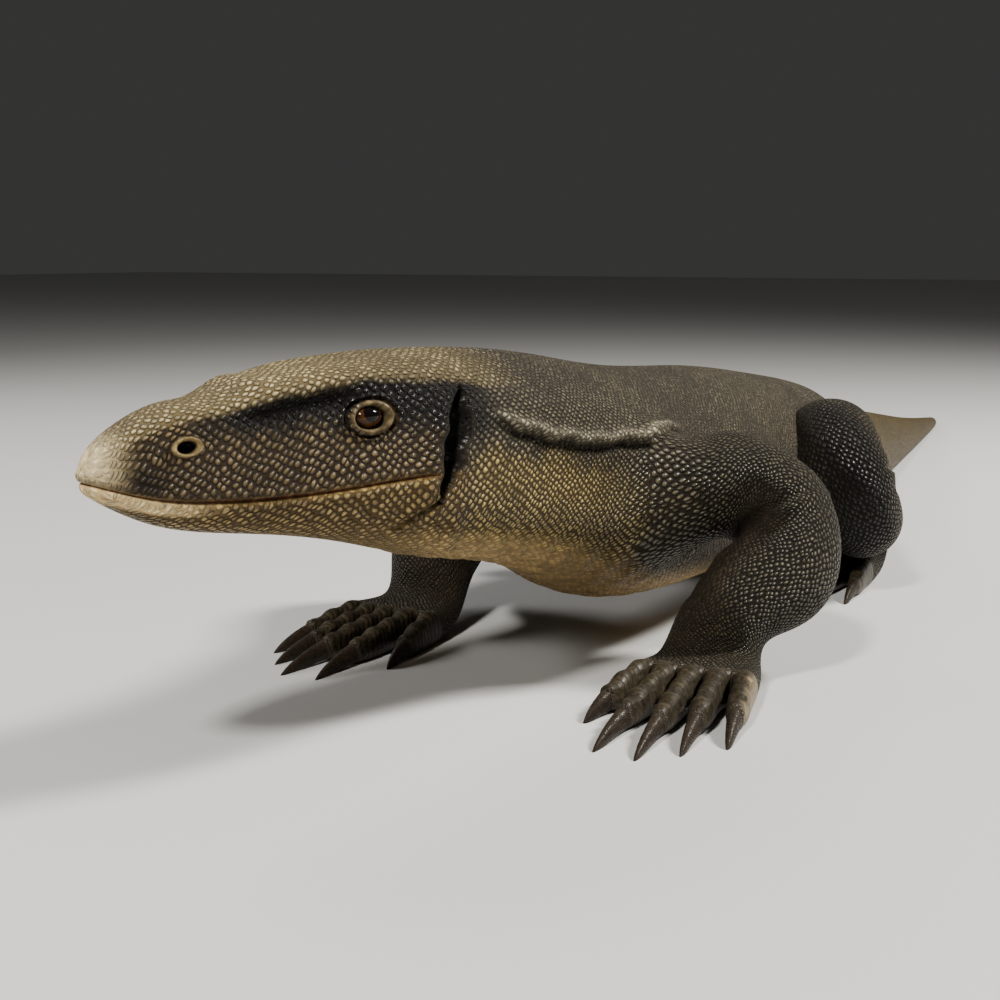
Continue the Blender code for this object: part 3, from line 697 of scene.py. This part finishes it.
def beadRowsGroup():  # rounded beads in diagonal rows: their height, worn tips and a shade for each
    group, into, out = newGroup(
        "beadRows", ("Vector", "Irregular", "Groove", "Wander"), ("Height", "Tip", "Shade")
    )
    x, y, z = addNode(group, "SeparateXYZ", {0: into["Vector"]}).outputs
    rows = addNode(group, "CombineXYZ", {0: plus(group, x, y), 1: minus(group, x, y)}).outputs[0]
    wobble = {"Vector": rows, "Scale": skin["wanderScale"], "Detail": 1.0}
    wobble = addNode(group, "TexNoise", wobble, noise_dimensions="2D").outputs["Color"]
    push = addNode(group, "VectorMath", {0: wobble, "Scale": into["Wander"]}, operation="SCALE").outputs[0]
    spot = addNode(group, "VectorMath", {0: push, 1: rows}).outputs[0]
    cell, edge = (
        addNode(
            group, "TexVoronoi", {"Vector": spot, "Scale": 1.0, "Randomness": into["Irregular"]},
            voronoi_dimensions="2D", feature=feature,
        ).outputs
        for feature in ("F1", "DISTANCE_TO_EDGE")
    )
    dome = mathNode(group, "POWER", times(group, cell["Distance"], skin["domeReach"]), 2.0)
    dome = mathNode(group, "POWER", minus(group, 1.0, dome, True), skin["domeFullness"])
    height = times(group, dome, rampNode(group, edge["Distance"], 0.0, into["Groove"], 0.0, 1.0))
    group.links.new(height, out["Height"])
    group.links.new(rampNode(group, height, *skin["tipStops"], 0.0, 1.0), out["Tip"])
    group.links.new(addNode(group, "SeparateColor", {0: cell["Color"]}).outputs[0], out["Shade"])
    return group


def patinaGroup():  # uneven stain and rubbed patches, as two masks from the place in the carving
    group, into, out = newGroup("rubbedPatina", ("Scale",), ("Broad", "Fine"))
    spot = addNode(group, "TexCoord", {}).outputs["Object"]
    for name, detail, finer in (("Broad", 4, 1.0), ("Fine", 3, 9.0)):
        scale = times(group, into["Scale"], finer)
        noise = addNode(group, "TexNoise", {"Vector": spot, "Scale": scale, "Detail": detail})
        group.links.new(rampNode(group, noise.outputs["Fac"], 0.35, 0.65, 0.0, 1.0), out[name])
    return group


def skinFoldsGroup():  # fine slack folds that run round the throat and belly
    group, into, out = newGroup("skinFolds", ("Vector", "Spacing"), ("Height",))
    turn = {"Rotation": (0, 0, math.radians(62)), "Scale": (1.0, 0.30, 1.0)}
    turned = addNode(group, "Mapping", {"Vector": into["Vector"], **turn}).outputs[0]
    slack = {"Distortion": 5.0, "Detail": 2.0, "Detail Scale": 0.8}
    folds = addNode(group, "TexWave", {"Vector": turned, "Scale": into["Spacing"], **slack})
    group.links.new(folds.outputs["Fac"], out["Height"])
    return group


def toeBandsGroup():  # overlapping cross bands on the toes, each with a dark line at its edge
    group, into, out = newGroup("toeBands", ("Vector", "Band"), ("Height", "Line"))
    x, y, z = addNode(group, "SeparateXYZ", {0: into["Vector"]}).outputs
    bend = times(group, mathNode(group, "SINE", times(group, x, 1.5708)), skin["bandBend"])
    saw = mathNode(group, "FRACT", mathNode(group, "DIVIDE", plus(group, y, bend), into["Band"]))
    group.links.new(mathNode(group, "POWER", saw, 0.45), out["Height"])
    group.links.new(rampNode(group, saw, 0.0, 0.22, 1.0, 0.0), out["Line"])
    return group


def skinMaterial():
    material, tree, shader = newMaterial("carvedSkin")
    beadUv = addNode(tree, "UVMap", {}, uv_map="beadMap").outputs[0]

    def effect(group, inputs):
        return addNode(tree, "Group", inputs, node_tree=group).outputs

    def mask(name):
        return addNode(tree, "Attribute", {}, attribute_name=name).outputs["Fac"]

    rows = {"Irregular": skin["irregular"], "Groove": skin["groove"], "Wander": skin["wander"]}
    beads = effect(beadRowsGroup(), {"Vector": beadUv, **rows})
    bands = effect(toeBandsGroup(), {"Vector": beadUv, "Band": skin["bandLength"]})
    patina = effect(patinaGroup(), {"Scale": skin["patinaScale"]})
    toe = mask("toe")
    smooth = mask("smooth")
    # the toes carry bands in place of beads
    tip = mixValue(tree, toe, beads["Tip"], minus(tree, 1.0, bands["Line"]))
    tipTone, grooveTone = skinTones["base"]
    for name, (tipHere, grooveHere) in list(skinTones.items())[1:]:
        here = mask(name)
        tipTone = mixColour(tree, here, tipTone, tipHere)
        grooveTone = mixColour(tree, here, grooveTone, grooveHere)
    # each bead took the stain a little differently, and some are rubbed
    shade = rampNode(tree, beads["Shade"], 0.0, 1.0, *skin["beadShade"])
    shade = times(tree, shade, rampNode(tree, patina["Broad"], 0.0, 1.0, *skin["broadShade"]))
    shade = times(tree, shade, rampNode(tree, patina["Fine"], 0.0, 1.0, *skin["fineShade"]))
    shadeTone = addNode(tree, "CombineColor", {0: shade, 1: shade, 2: shade}).outputs[0]
    tipTone = mixColour(tree, 1.0, tipTone, shadeTone, "MULTIPLY")
    lost, wear = skin["smoothWear"]
    worn = times(tree, tip, minus(tree, 1.0, times(tree, smooth, lost)))
    worn = plus(tree, worn, times(tree, smooth, wear), True)
    tree.links.new(mixColour(tree, worn, grooveTone, tipTone), shader.inputs["Base Color"])
    rough = mixValue(tree, tip, skin["roughGroove"], skin["roughTip"])
    rougherAt = {"patina": patina["Fine"], "smooth": smooth, "leg": mask("leg"), "toe": toe}
    for name, amount in skin["rougher"].items():
        rough = plus(tree, rough, times(tree, rougherAt[name], amount))
    rough = minus(tree, rough, times(tree, mask("crestHighlight"), skin["crestShine"]), True)
    tree.links.new(rough, shader.inputs["Roughness"])
    shader.inputs["IOR"].default_value = skin["ior"]
    # beads or toe bands, then fine cuts of the knife and the slack folds
    bead = times(tree, beads["Height"], minus(tree, 1.0, smooth))
    height = mixValue(tree, toe, bead, times(tree, bands["Height"], skin["bandHeight"]))
    spot = addNode(tree, "TexCoord", {}).outputs["Object"]
    cuts = addNode(tree, "TexNoise", {"Vector": spot, "Scale": skin["cutScale"], "Detail": 2}).outputs["Fac"]
    folds = effect(skinFoldsGroup(), {"Vector": beadUv, "Spacing": skin["foldSpacing"]})["Height"]
    height = plus(tree, height, times(tree, cuts, skin["cutHeight"]))
    height = plus(tree, height, times(tree, folds, times(tree, mask("belly"), skin["foldHeight"])))
    bump = addNode(tree, "Bump", {"Height": height, "Distance": skin["beadHeight"], "Strength": 1.0})
    tree.links.new(bump.outputs[0], shader.inputs["Normal"])
    return material


# each point's column and place on the cage, and how much of it is skin, leg, toe and claw
def placesOf(mesh):
    layer = mesh.loops.layers.uv["placeMap"]
    count = len(mesh.verts)
    parts = np.zeros((count, 4))
    where = np.zeros((count, 2))
    seen = np.full(count, -1)
    for f in mesh.faces:
        part = f.material_index
        for loop in f.loops:
            i = loop.vert.index
            parts[i, part] += 1
            if seen[i] < 0 or part < seen[i]:
                where[i] = loop[layer].uv
                seen[i] = part
    return parts / parts.sum(1, keepdims=True), where


def splitMesh(mesh, beyond):  # the faces in front of this x, and those behind it, as two meshes
    data = bpy.data.meshes.new("whole")
    mesh.to_mesh(data)
    halves = []
    for keepFar in (False, True):
        half = bmesh.new()
        half.from_mesh(data)
        gone = [f for f in half.faces if (f.calc_center_median().x > beyond) != keepFar]
        bmesh.ops.delete(half, geom=gone, context="FACES")
        halves.append(half)
    bpy.data.meshes.remove(data)
    return halves


snoutTip = np.array(section(0)[0])
headHeading = math.radians(-animal["headTurn"])
backward = np.array((math.cos(headHeading), math.sin(headHeading)))
leftward = np.array((math.sin(headHeading), -math.cos(headHeading)))
mouthShare = np.linspace(0, face["mouthReach"] + 0.04, 60)
mouthHeight = np.array([smoothCurve(*zip(*mouthRows), s) for s in mouthShare]) * animal["shoulderHeight"]
eyeRadii = (0.43 * face["eyeLength"], 0.43 * face["eyeOpening"])
eyeSpots = {side: frameAt(face["eyePlace"] * headLength, face["eyeColumn"], side) for side in (-1, 1)}
nostrilRadii = (face["nostrilLength"] / 2, 0.32 * face["nostrilLength"])
nostrilSpots = {
    side: frameAt(face["nostrilPlace"] * headLength, face["nostrilColumn"], side) for side in (-1, 1)
}
farOff = 99.0  # the reach of points that lie off the eye's or nostril's side of the head


def headPlace(points):  # how far back from the snout, out to the left and up
    flat = points[:, :2] - snoutTip[:2]
    return flat @ backward, flat @ leftward, points[:, 2]


def mouthAt(back):
    return np.interp(back, mouthShare * headLength, mouthHeight)


def slitAt(up):  # share of the way down it, how far back it is there, and half its width
    share = (face["slitTop"] - up) / face["slitHeight"]
    back = headLength * (1.012 - face["slitLean"] * share) + 0.0004 * np.sin(up * 620)
    half = face["slitWidth"] / 2 * (0.12 + 0.88 * np.sin(np.pi * np.clip(share, 0, 1) ** 0.80) ** 1.1) * 1.22
    half *= 1 + 0.10 * np.sin(up * 1100 + 1)
    return share, back, np.where((share > -0.03) & (share < 1.03), np.maximum(half, 0.0002), 1e-5)


def foldAt(place):  # the column that the fold of the neck follows
    return np.interp(place / headLength, *zip(*foldRows))


def reachOf(points, spot, radii):  # 1 on the oval with these radii round the spot
    turn, point = spot
    local = (points - np.array(point)) @ np.array(turn)
    reach = np.sqrt((local[:, 0] / radii[0]) ** 2 + (local[:, 1] / radii[1]) ** 2)
    return np.where(np.abs(local[:, 2]) < 0.009, reach, farOff), local


def finerFaces(mesh):  # where the fine carving goes
    for again in range(2):
        mesh.verts.ensure_lookup_table()
        mesh.verts.index_update()
        points = np.array([v.co for v in mesh.verts])
        parts, where = placesOf(mesh)
        back, out, up = headPlace(points)
        onSkin = parts[:, partSkin] > 0.5
        near = np.zeros(len(points), bool)
        for side in (-1, 1):
            near |= reachOf(points, eyeSpots[side], eyeRadii)[0] < 2.8 - 0.6 * again
            near |= reachOf(points, nostrilSpots[side], nostrilRadii)[0] < 3.2 - 0.8 * again
        onHead = (back > -0.01) & (back < 0.97 * headLength) & onSkin
        near |= onHead & (np.abs(up - mouthAt(back)) < 0.0034 - 0.0018 * again)
        share, slitBack, half = slitAt(up)
        atSlit = np.abs(back - slitBack) < 0.0060 - 0.0015 * again
        near |= atSlit & (np.abs(share - 0.5) < 0.62) & (np.abs(out) > face["sideFrom"])
        if again == 0:
            onFold = (where[:, 1] > headLength) & (where[:, 1] < shoulderAt + 0.05) & onSkin
            near |= onFold & (np.abs(where[:, 0] - foldAt(where[:, 1])) < 0.8)
            near |= onFold & (where[:, 0] > 6.0)
        edges = {e for v, close in zip(mesh.verts, near) if close for e in v.link_edges}
        bmesh.ops.subdivide_edges(mesh, edges=list(edges), cuts=1, use_grid_fill=True)
    bmesh.ops.triangulate(mesh, faces=[f for f in mesh.faces if len(f.verts) > 4])


relief = {  # the finer carving; rows are height, middle and width
    "lips": ((0.00045, 0.0017, 0.0010), (0.00035, -0.0018, 0.0012)),
    "socket": 0.0036,
    "lids": ((0.0012, 1.24, 0.18), (-0.0007, 1.62, 0.13), (0.0005, 1.90, 0.15)),
    "nostril": 0.0026,
    "nostrilRim": 0.0007,
    "ridge": 0.0009,
    "brow": 0.0011,
    "browDip": 0.0010,
    "hollow": 0.0019,
    "slitSides": ((0.0011, -0.0022), (0.0006, 0.0016)),  # height, and how far from the slit's edge
    "nick": 0.0012,
    "neckFold": 0.0022,
    "neckCrease": 0.0009,
    "slack": 0.00045,
    "jointFolds": (
        (0.0010, 0.0048, 0.0020), (-0.0013, 0.0016, 0.0013),
        (0.0006, -0.0016, 0.0018), (-0.0007, 0.0092, 0.0012),
    ),
    "knuckle": 0.0009,
    "knuckleSpacing": 0.0085,
}


def carveEyes(points):  # the nostrils too
    lift, lid, ring, holeShade = np.zeros((4, len(points)))
    for side in (-1, 1):
        reach, local = reachOf(points, eyeSpots[side], eyeRadii)
        facing = reach < farOff
        inside = fall(0.80, 1.04, reach)
        hinder = 0.5 + 0.5 * np.clip(local[:, 0] / eyeRadii[0] / 1.4, -1, 1)
        lift -= inside * relief["socket"]
        for height, middle, width in relief["lids"]:
            lift += facing * height * hump(reach, middle, width)
        # painted shade: the inside of the socket is marked to be coloured near black
        holeShade = np.maximum(holeShade, inside)
        lidEdge = fall(1.24 + 0.26 * hinder, 1.52 + 0.34 * hinder, reach)  # wider behind the eye
        lid = np.maximum(lid, facing * lidEdge)
        reach, local = reachOf(points, nostrilSpots[side], nostrilRadii)
        inside = fall(0.75, 1.15, reach)
        lift -= inside * relief["nostril"]
        lift += (reach < farOff) * relief["nostrilRim"] * hump(reach, 1.42, 0.22)
        # painted shade: the same inside the nostril
        holeShade = np.maximum(holeShade, fall(0.95, 1.15, reach))
        ring = np.maximum(ring, (reach < farOff) * fall(1.50, 1.80, reach))
    return lift, lid, ring, holeShade


def carveLegs(points, normals, parts, where):  # creases of elbows and knees, and the toes' knuckles
    lift = np.zeros(len(points))
    onLeg = parts[:, partLeg] > 0.5
    for pivot, down, far in joins:
        aside = points - np.array(pivot)
        nearJoint = onLeg * (np.sqrt((aside ** 2).sum(1)) < far)
        step = aside @ np.array(down) + 0.0008 * np.sin(points[:, 2] * 420)
        for height, middle, width in relief["jointFolds"]:
            lift += nearJoint * height * hump(step, middle, width)
    onToe = parts[:, partToe] > 0.5
    knuckle = np.sin(np.pi * np.where(onToe, where[:, 1], 0) / relief["knuckleSpacing"]) ** 2
    lift += onToe * relief["knuckle"] * knuckle * np.clip(normals[:, 2], 0, 1)
    return lift


def fitToCad(points):
    points[:, 2] -= animal["soleTrim"]
    points[:, 2] = np.maximum(points[:, 2], 0)
    low, high = points.min(0), points.max(0)
    cadLow, cadHigh = (np.array(corner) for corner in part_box("carved_body"))
    scale = (cadHigh - cadLow) / (high - low)
    points = cadLow + (points - low) * scale
    shift = (cadLow + cadHigh) / 2 - (low + high) / 2
    print("visual fitted to the CAD box by", np.round(scale, 5), "and moved", np.round(shift, 5))
    return points, shift


def carvedBody():
    cage = makeObject("cage", buildCage(), ())
    rounding = cage.modifiers.new("rounding", "SUBSURF")
    rounding.levels = rounding.render_levels = 3
    fine = cage.evaluated_get(bpy.context.evaluated_depsgraph_get()).to_mesh()
    mesh = bmesh.new()
    mesh.from_mesh(fine)
    bpy.data.objects.remove(cage, do_unlink=True)
    print("cage rounded to", len(mesh.faces), "faces")

    finerFaces(mesh)
    mesh.normal_update()
    mesh.verts.ensure_lookup_table()
    mesh.verts.index_update()
    count = len(mesh.verts)
    points = np.array([v.co for v in mesh.verts])
    normals = np.array([v.normal for v in mesh.verts])
    parts, where = placesOf(mesh)
    onSkin = parts[:, partSkin] > 0
    print("face carving on", count, "points")

    back, out, up = headPlace(points)
    column = np.where(onSkin, where[:, 0], 4)
    place = np.where(onSkin, where[:, 1], shoulderAt)
    beside = np.abs(out) > face["sideFrom"]
    lift = np.zeros(count)

    # mouth: a cut with a soft lip over and under it, finer at the snout
    onHead = (back > -0.01) & (back < face["mouthReach"] * headLength) & onSkin
    fade = fall((face["mouthReach"] - 0.05) * headLength, face["mouthReach"] * headLength, back)
    over = up - mouthAt(back)
    mouth = onHead * fade
    opened = 0.62 + 0.38 * smoothStep(0.02 * headLength, 0.25 * headLength, back)
    lift -= 0.6 * mouth * face["mouthDepth"] * opened * hump(over, 0, face["mouthWidth"] * opened)
    mouthEdge = mouth * hump(over, 0, 0.0013)
    for height, middle, width in relief["lips"]:
        lift += mouth * height * hump(over, middle, width)
    gash = 0.9 * mouth * hump(over, -0.0001, 0.7 * face["mouthWidth"] * opened)
    eyeLift, lid, ring, holeShade = carveEyes(points)
    lift += eyeLift
    # the ridge from the nostril back over the eye, and the dark hollow under it
    along = place / headLength
    ridge = onSkin * smoothStep(0.26, 0.42, along) * fall(0.80, 0.98, along)
    hollow = onSkin * smoothStep(0.30, 0.44, along) * fall(0.60, 0.74, along)
    lift += relief["ridge"] * ridge * hump(column, 2.18, 0.26)
    brow = face["nostrilPlace"] + 0.42 * (face["eyePlace"] - face["nostrilPlace"])
    nearTop = fall(1.2, 2.4, column)
    lift += relief["brow"] * onSkin * hump(along, brow, 0.045) * nearTop
    lift -= relief["browDip"] * onSkin * hump(along, brow - 0.12, 0.060) * nearTop
    lift -= relief["hollow"] * hollow * hump(column, 2.72, 0.30)
    # the ragged gash behind the cheek, and the swelling of the cheek before it
    share, slitBack, half = slitAt(up)
    # painted shade: slitHole marks the slit to be coloured near black, and slitWall darkens its walls
    slit, slitHole, slitWall = (
        fall(low, high, np.abs(back - slitBack) / half) * beside * onSkin
        for low, high in ((0.45, 1.20), (0.95, 1.20), (1.35, 1.90))
    )
    lift -= face["slitDepth"] * slit
    cheek = smoothStep(-0.1, 0.35, share) * fall(0.85, 1.05, share) * beside * onSkin
    for height, beyond in relief["slitSides"]:
        edge = slitBack + math.copysign(face["slitWidth"] / 2, beyond) + beyond
        lift += height * cheek * hump(back, edge, abs(beyond))
    # the nick that runs on from it under the jaw
    nick = (up - (face["slitTop"] - face["slitHeight"]) + 0.62 * (slitBack - back)) / 0.0009
    nick = np.exp(-nick ** 2) * smoothStep(-0.0115, -0.0095, back - slitBack)
    nick *= fall(-0.001, 0.001, back - slitBack) * beside * onSkin
    lift -= relief["nick"] * nick
    # painted shade: the insides of the sockets, nostrils, slit and nick are coloured near black
    holeShade = np.maximum.reduce([holeShade, slitHole, 0.8 * nick])

    # the long fold down the side of the neck, with a crease under it
    foldRun = smoothStep(1.06 * headLength, headLength + 0.22 * neckLength, place) * onSkin
    foldRun *= fall(shoulderAt + 0.004, shoulderAt + 0.024, place)
    aside = column - foldAt(place) + 0.03 * np.sin(place * 500)
    lift += foldRun * relief["neckFold"] * hump(aside, -0.14, 0.16)
    # painted highlight: the crest of the fold is coloured pale as if catching the light
    crestHighlight = 0.85 * foldRun * hump(aside, -0.12, 0.09)
    # painted shadow: the crease under the fold is coloured near black
    crease = foldRun * hump(aside, 0.12, 0.10)
    lift -= relief["neckCrease"] * crease
    # soft folds of the skin of the throat and chest
    slack = onSkin * smoothStep(0.80 * headLength, headLength, place)
    slack *= fall(shoulderAt, shoulderAt + 0.08, place) * smoothStep(5.2, 6.4, column)
    lift += slack * relief["slack"] * np.sin(place * 620 + 1.6 * np.sin(column * 2.3))
    lift += carveLegs(points, normals, parts, where)

    points += normals * lift[:, None]
    points, shift = fitToCad(points)

    # where each tone goes, from 0 to 1
    wave = 0.10 * np.sin(place * 260) + 0.06 * np.sin(place * 610 + 2)
    # the top of the head: its own pale khaki, lightened further as painted light
    crownEdge = 2.22 + 0.10 * hump(along, 0.5, 0.2) + 0.4 * wave
    onCrownPaleAndLit = onSkin * fall(crownEdge - 0.14, crownEdge + 0.14, column)
    onCrownPaleAndLit *= fall(1.00, 1.30, along) * (1 - 0.30 * smoothStep(0.50, 0.95, along))
    # the snout tip: its own pale cream, brightened further as a painted highlight
    snout = onSkin * fall(0.00, 0.11, back / headLength) * (along < 0.3)
    snout *= smoothStep(-0.001, 0.004, over)
    # a dark blotch behind the snout, near the mouth
    snoutBlotchAndHindShade = 0.8 * onHead * hump(back / headLength, 0.52 * face["nostrilPlace"], 0.055)
    snoutBlotchAndHindShade *= hump(over, 0.0035, 0.0035)
    under = smoothStep(-0.0006, 0.0004, -over) * onSkin * (along < 1.05)
    lip = under * fall(0.14, 0.34, back / headLength) * fall(0.0026, 0.0042, -over)
    jaw = under * fall(0.96, 1.06, along)
    muzzle = onSkin * fall(0.88, 1.04, along + 0.3 * wave) * (1 - under)
    # partly a dark band of the pattern, partly painted shadow cast by the ridge over the eye
    templeBandAndShade = onSkin * smoothStep(0.20, 0.36, along) * fall(1.02, 1.20, along)
    lower = smoothStep(0.35, 0.75, along)
    templeBandAndShade *= fall(2.75 + 0.30 * lower, 3.55 + 0.45 * lower, column + wave)
    throat = onSkin * smoothStep(3.55, 4.25, column + wave) * smoothStep(0.98, 1.06, along)
    throat *= fall(shoulderAt - 0.034, shoulderAt + 0.012, place - 0.006 * (column - 5) + 0.02 * wave)
    belly = onSkin * smoothStep(5.7, 6.5, column)
    belly *= smoothStep(0.55 * headLength, headLength + 0.3 * neckLength, place)
    belly *= fall(hipAt, hipAt + 0.10, place)
    tail = onSkin * smoothStep(hipAt + 0.04, hipAt + 0.16, place)
    leg = parts[:, partLeg] * smoothStep(0.0, 0.014, np.where(onSkin, 0, where[:, 1])) + parts[:, partToe]
    toe = parts[:, partToe]
    claw = parts[:, partClaw]
    # painted shade: leg faces turned toward the body's middle or ahead, away from the key lamp, are coloured
    # darker
    towardMiddle = np.where(points[:, 1] < 0, normals[:, 1], -normals[:, 1])
    aheadAndIn = 0.87 * towardMiddle - 0.5 * normals[:, 0]
    halfWay = shift[0] + sum(pivot[0] for pivot, down, far in joins) / len(joins)
    hind = points[:, 0] > halfWay
    innerShade = np.maximum(smoothStep(0.15, 0.65, towardMiddle), smoothStep(0.20, 0.60, aheadAndIn))
    innerShade *= leg * (1 - toe)
    # painted shade: the hind legs' front faces, turned away from the key lamp, are coloured near black
    snoutBlotchAndHindShade = np.maximum(snoutBlotchAndHindShade, hind * leg * (1 - toe) * smoothStep(0.05, 0.50, -normals[:, 0]))
    # the outer left front toe is chipped to bare wood along its outer side
    chip = toe * (where[:, 0] > 3.5) * (points[:, 1] < 0) * (points[:, 0] < shift[0] + 0.03)
    chip *= smoothStep(0.45, 0.85, -normals[:, 1] + 0.25 * np.sin(points[:, 0] * 900))
    smooth = np.maximum.reduce([
        0.90 * belly, lid, ring, holeShade, 0.75 * innerShade, claw, 0.85 * snout, 0.6 * lip,
        slitWall, mouthEdge, 0.7 * crease,
    ])
    masks = {
        "muzzle": muzzle, "templeBandAndShade": templeBandAndShade, "crownPaleAndLit": onCrownPaleAndLit * (1 - under), "snout": snout, "jaw": jaw,
        "lip": lip, "throat": throat, "belly": belly, "tail": tail, "leg": leg, "innerShade": innerShade, "lid": lid,
        "crestHighlight": crestHighlight, "crease": np.maximum.reduce([crease, snoutBlotchAndHindShade, 0.8 * slitWall]), "ring": ring,
        "toe": toe, "gash": gash, "holeShade": holeShade, "claw": claw, "bare": chip, "smooth": np.clip(smooth, 0, 1),
    }

    layers = {name: mesh.verts.layers.float.new(name) for name in masks}
    for i, vert in enumerate(mesh.verts):
        vert.co = points[i]
        for name, layer in layers.items():
            vert[layer] = masks[name][i]
    for f in mesh.faces:
        f.material_index = 0
        f.smooth = True
    mesh.loops.layers.uv.remove(mesh.loops.layers.uv["placeMap"])
    mesh.normal_update()
    normalAt = {tuple(v.co): v.normal.copy() for v in mesh.verts}
    material = skinMaterial()
    seam = shift[0] + 0.42 * animal["trunkLength"]
    for name, half in zip(("carvedFront", "carvedRear"), splitMesh(mesh, seam)):
        made = makeObject(name, half, (material,))
        data = made.data
        seamNormals = [normalAt.get(tuple(v.co), v.normal) for v in data.vertices]
        data.normals_split_custom_set_from_vertices(seamNormals)
        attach(made, "root")
        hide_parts("carved_body")
        print(name, sum(len(f.vertices) - 2 for f in data.polygons), "triangles")
    mesh.free()
    return shift


eyeLook = {
    "iris": (0.100, 0.036, 0.009),
    # dark streaks of the iris, and painted shade at its rim
    "irisDarkAndRimShade": (0.018, 0.007, 0.003),
    "pupil": (0.004, 0.003, 0.003),
    "pupilSize": 0.60,
    "irisSize": 0.86,
    "segments": 48,
    "rings": 32,
    "roughness": 0.10,
    "ior": 1.30,
}


def eyeMaterial():
    material, tree, shader = newMaterial("amberEye")
    uv = addNode(tree, "UVMap", {}, uv_map="eyeMap").outputs[0]
    reach = addNode(tree, "VectorMath", {0: uv}, operation="LENGTH").outputs["Value"]
    streaks = addNode(tree, "TexNoise", {"Vector": uv, "Scale": 6, "Detail": 3}).outputs["Fac"]
    irisSize, pupilSize = eyeLook["irisSize"], eyeLook["pupilSize"]
    iris = mixColour(tree, rampNode(tree, streaks, 0.3, 0.7, 0.0, 0.8), eyeLook["iris"], eyeLook["irisDarkAndRimShade"])
    # painted shade: the iris darkens toward its rim as if under the lids
    edge = rampNode(tree, reach, irisSize * 0.7, irisSize, 0.0, 1.0)
    colour = mixColour(tree, edge, iris, eyeLook["irisDarkAndRimShade"])
    pupil = rampNode(tree, reach, pupilSize * 0.85, pupilSize, 1.0, 0.0)
    tree.links.new(mixColour(tree, pupil, colour, eyeLook["pupil"]), shader.inputs["Base Color"])
    shader.inputs["Roughness"].default_value = eyeLook["roughness"]
    shader.inputs["IOR"].default_value = eyeLook["ior"]
    return material


def eye(name, node, side, material, shift):
    turn, point = frameAt(face["eyePlace"] * headLength, face["eyeColumn"], side)
    centre = point - turn.col[2] * (face["eyeLength"] / 2 - face["eyeShowing"])
    half = (face["eyeLength"] / 2, face["eyeOpening"] / 2, face["eyeLength"] / 2)
    mesh = bmesh.new()
    bmesh.ops.create_uvsphere(mesh, u_segments=eyeLook["segments"], v_segments=eyeLook["rings"], radius=1)
    layer = mesh.loops.layers.uv.new("eyeMap")
    for f in mesh.faces:
        f.smooth = True
        for loop in f.loops:
            x, y, z = loop.vert.co
            loop[layer].uv = (x * 1.15, y * 0.85) if z > 0 else (2, 2)
    for vert in mesh.verts:
        vert.co = centre + turn @ Vector(vert.co[i] * half[i] for i in range(3)) + Vector(shift)
    made = makeObject(name, mesh, (material,))
    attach(made, "root")
    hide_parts(node)


shift = carvedBody()
amber = eyeMaterial()
eye("eyeLeft", "eye_left", -1, amber, shift)
eye("eyeRight", "eye_right", 1, amber, shift)
print("eyes set in")

studio = {
    "unit": 0.127,  # the camera's height over the floor, which scaled the photo's view
    "place": (-3.193, -1.670, 1.0),
    "heading": 30.0,
    "pitch": 9.46,
    "lens": 54,
    "floor": (0.62, 0.62, 0.61),
    "floorDark": (0.5, 0.5, 0.5),
    "floorRoughness": 0.55,
    "air": (0.52, 0.51, 0.50),
    "airStrength": 0.08,
    "lamps": {
        "key": ((0.62, -0.62, 0.85), 0.20, 27.0, (1.0, 0.97, 0.91)),
        "front": ((-0.85, -0.10, 0.95), 0.14, 16.0, (1.0, 0.97, 0.91)),
        "rim": ((0.10, 0.85, 0.75), 0.40, 5.0, (1.0, 0.98, 0.95)),
    },
}


def floorMaterial():
    material, tree, shader = newMaterial("paleFloor")
    spot = addNode(tree, "TexCoord", {}).outputs["Object"]
    noise = addNode(tree, "TexNoise", {"Vector": spot, "Scale": 3}).outputs["Fac"]
    shade = rampNode(tree, noise, 0.3, 0.7, 0.0, 0.06)
    colour = mixColour(tree, shade, studio["floor"], studio["floorDark"])
    tree.links.new(colour, shader.inputs["Base Color"])
    shader.inputs["Roughness"].default_value = studio["floorRoughness"]
    return material


mesh = bmesh.new()
bmesh.ops.create_grid(mesh, x_segments=2, y_segments=2, size=6)
floor = makeObject("floor", mesh, (floorMaterial(),))

scene = bpy.context.scene
world = bpy.data.worlds.new("studioAir")
world.use_nodes = True
air = world.node_tree.nodes["Background"]
air.inputs[0].default_value = (*studio["air"], 1)
air.inputs[1].default_value = studio["airStrength"]
scene.world = world

for name, (spot, size, power, colour) in studio["lamps"].items():
    lamp = bpy.data.lights.new(name, "AREA")
    lamp.size = size
    lamp.energy = power
    lamp.color = colour
    made = bpy.data.objects.new(name, lamp)
    made.location = Vector(spot) + Vector((shift[0], 0, 0))
    aim = Vector((shift[0] - 0.05, 0, 0.05)) - made.location
    made.rotation_euler = aim.to_track_quat("-Z", "Y").to_euler()
    scene.collection.objects.link(made)

camera = bpy.data.objects.new("photoCamera", bpy.data.cameras.new("photoCamera"))
camera.data.lens = studio["lens"]
camera.data.sensor_width = 36
camera.data.clip_start = 0.01
camera.location = Vector(studio["place"]) * studio["unit"] + Vector(shift)
heading, pitch = math.radians(studio["heading"]), math.radians(studio["pitch"])
look = Vector((math.cos(heading) * math.cos(pitch), math.sin(heading) * math.cos(pitch), -math.sin(pitch)))
camera.rotation_euler = look.to_track_quat("-Z", "Y").to_euler()
scene.collection.objects.link(camera)
scene.camera = camera
print("studio set")
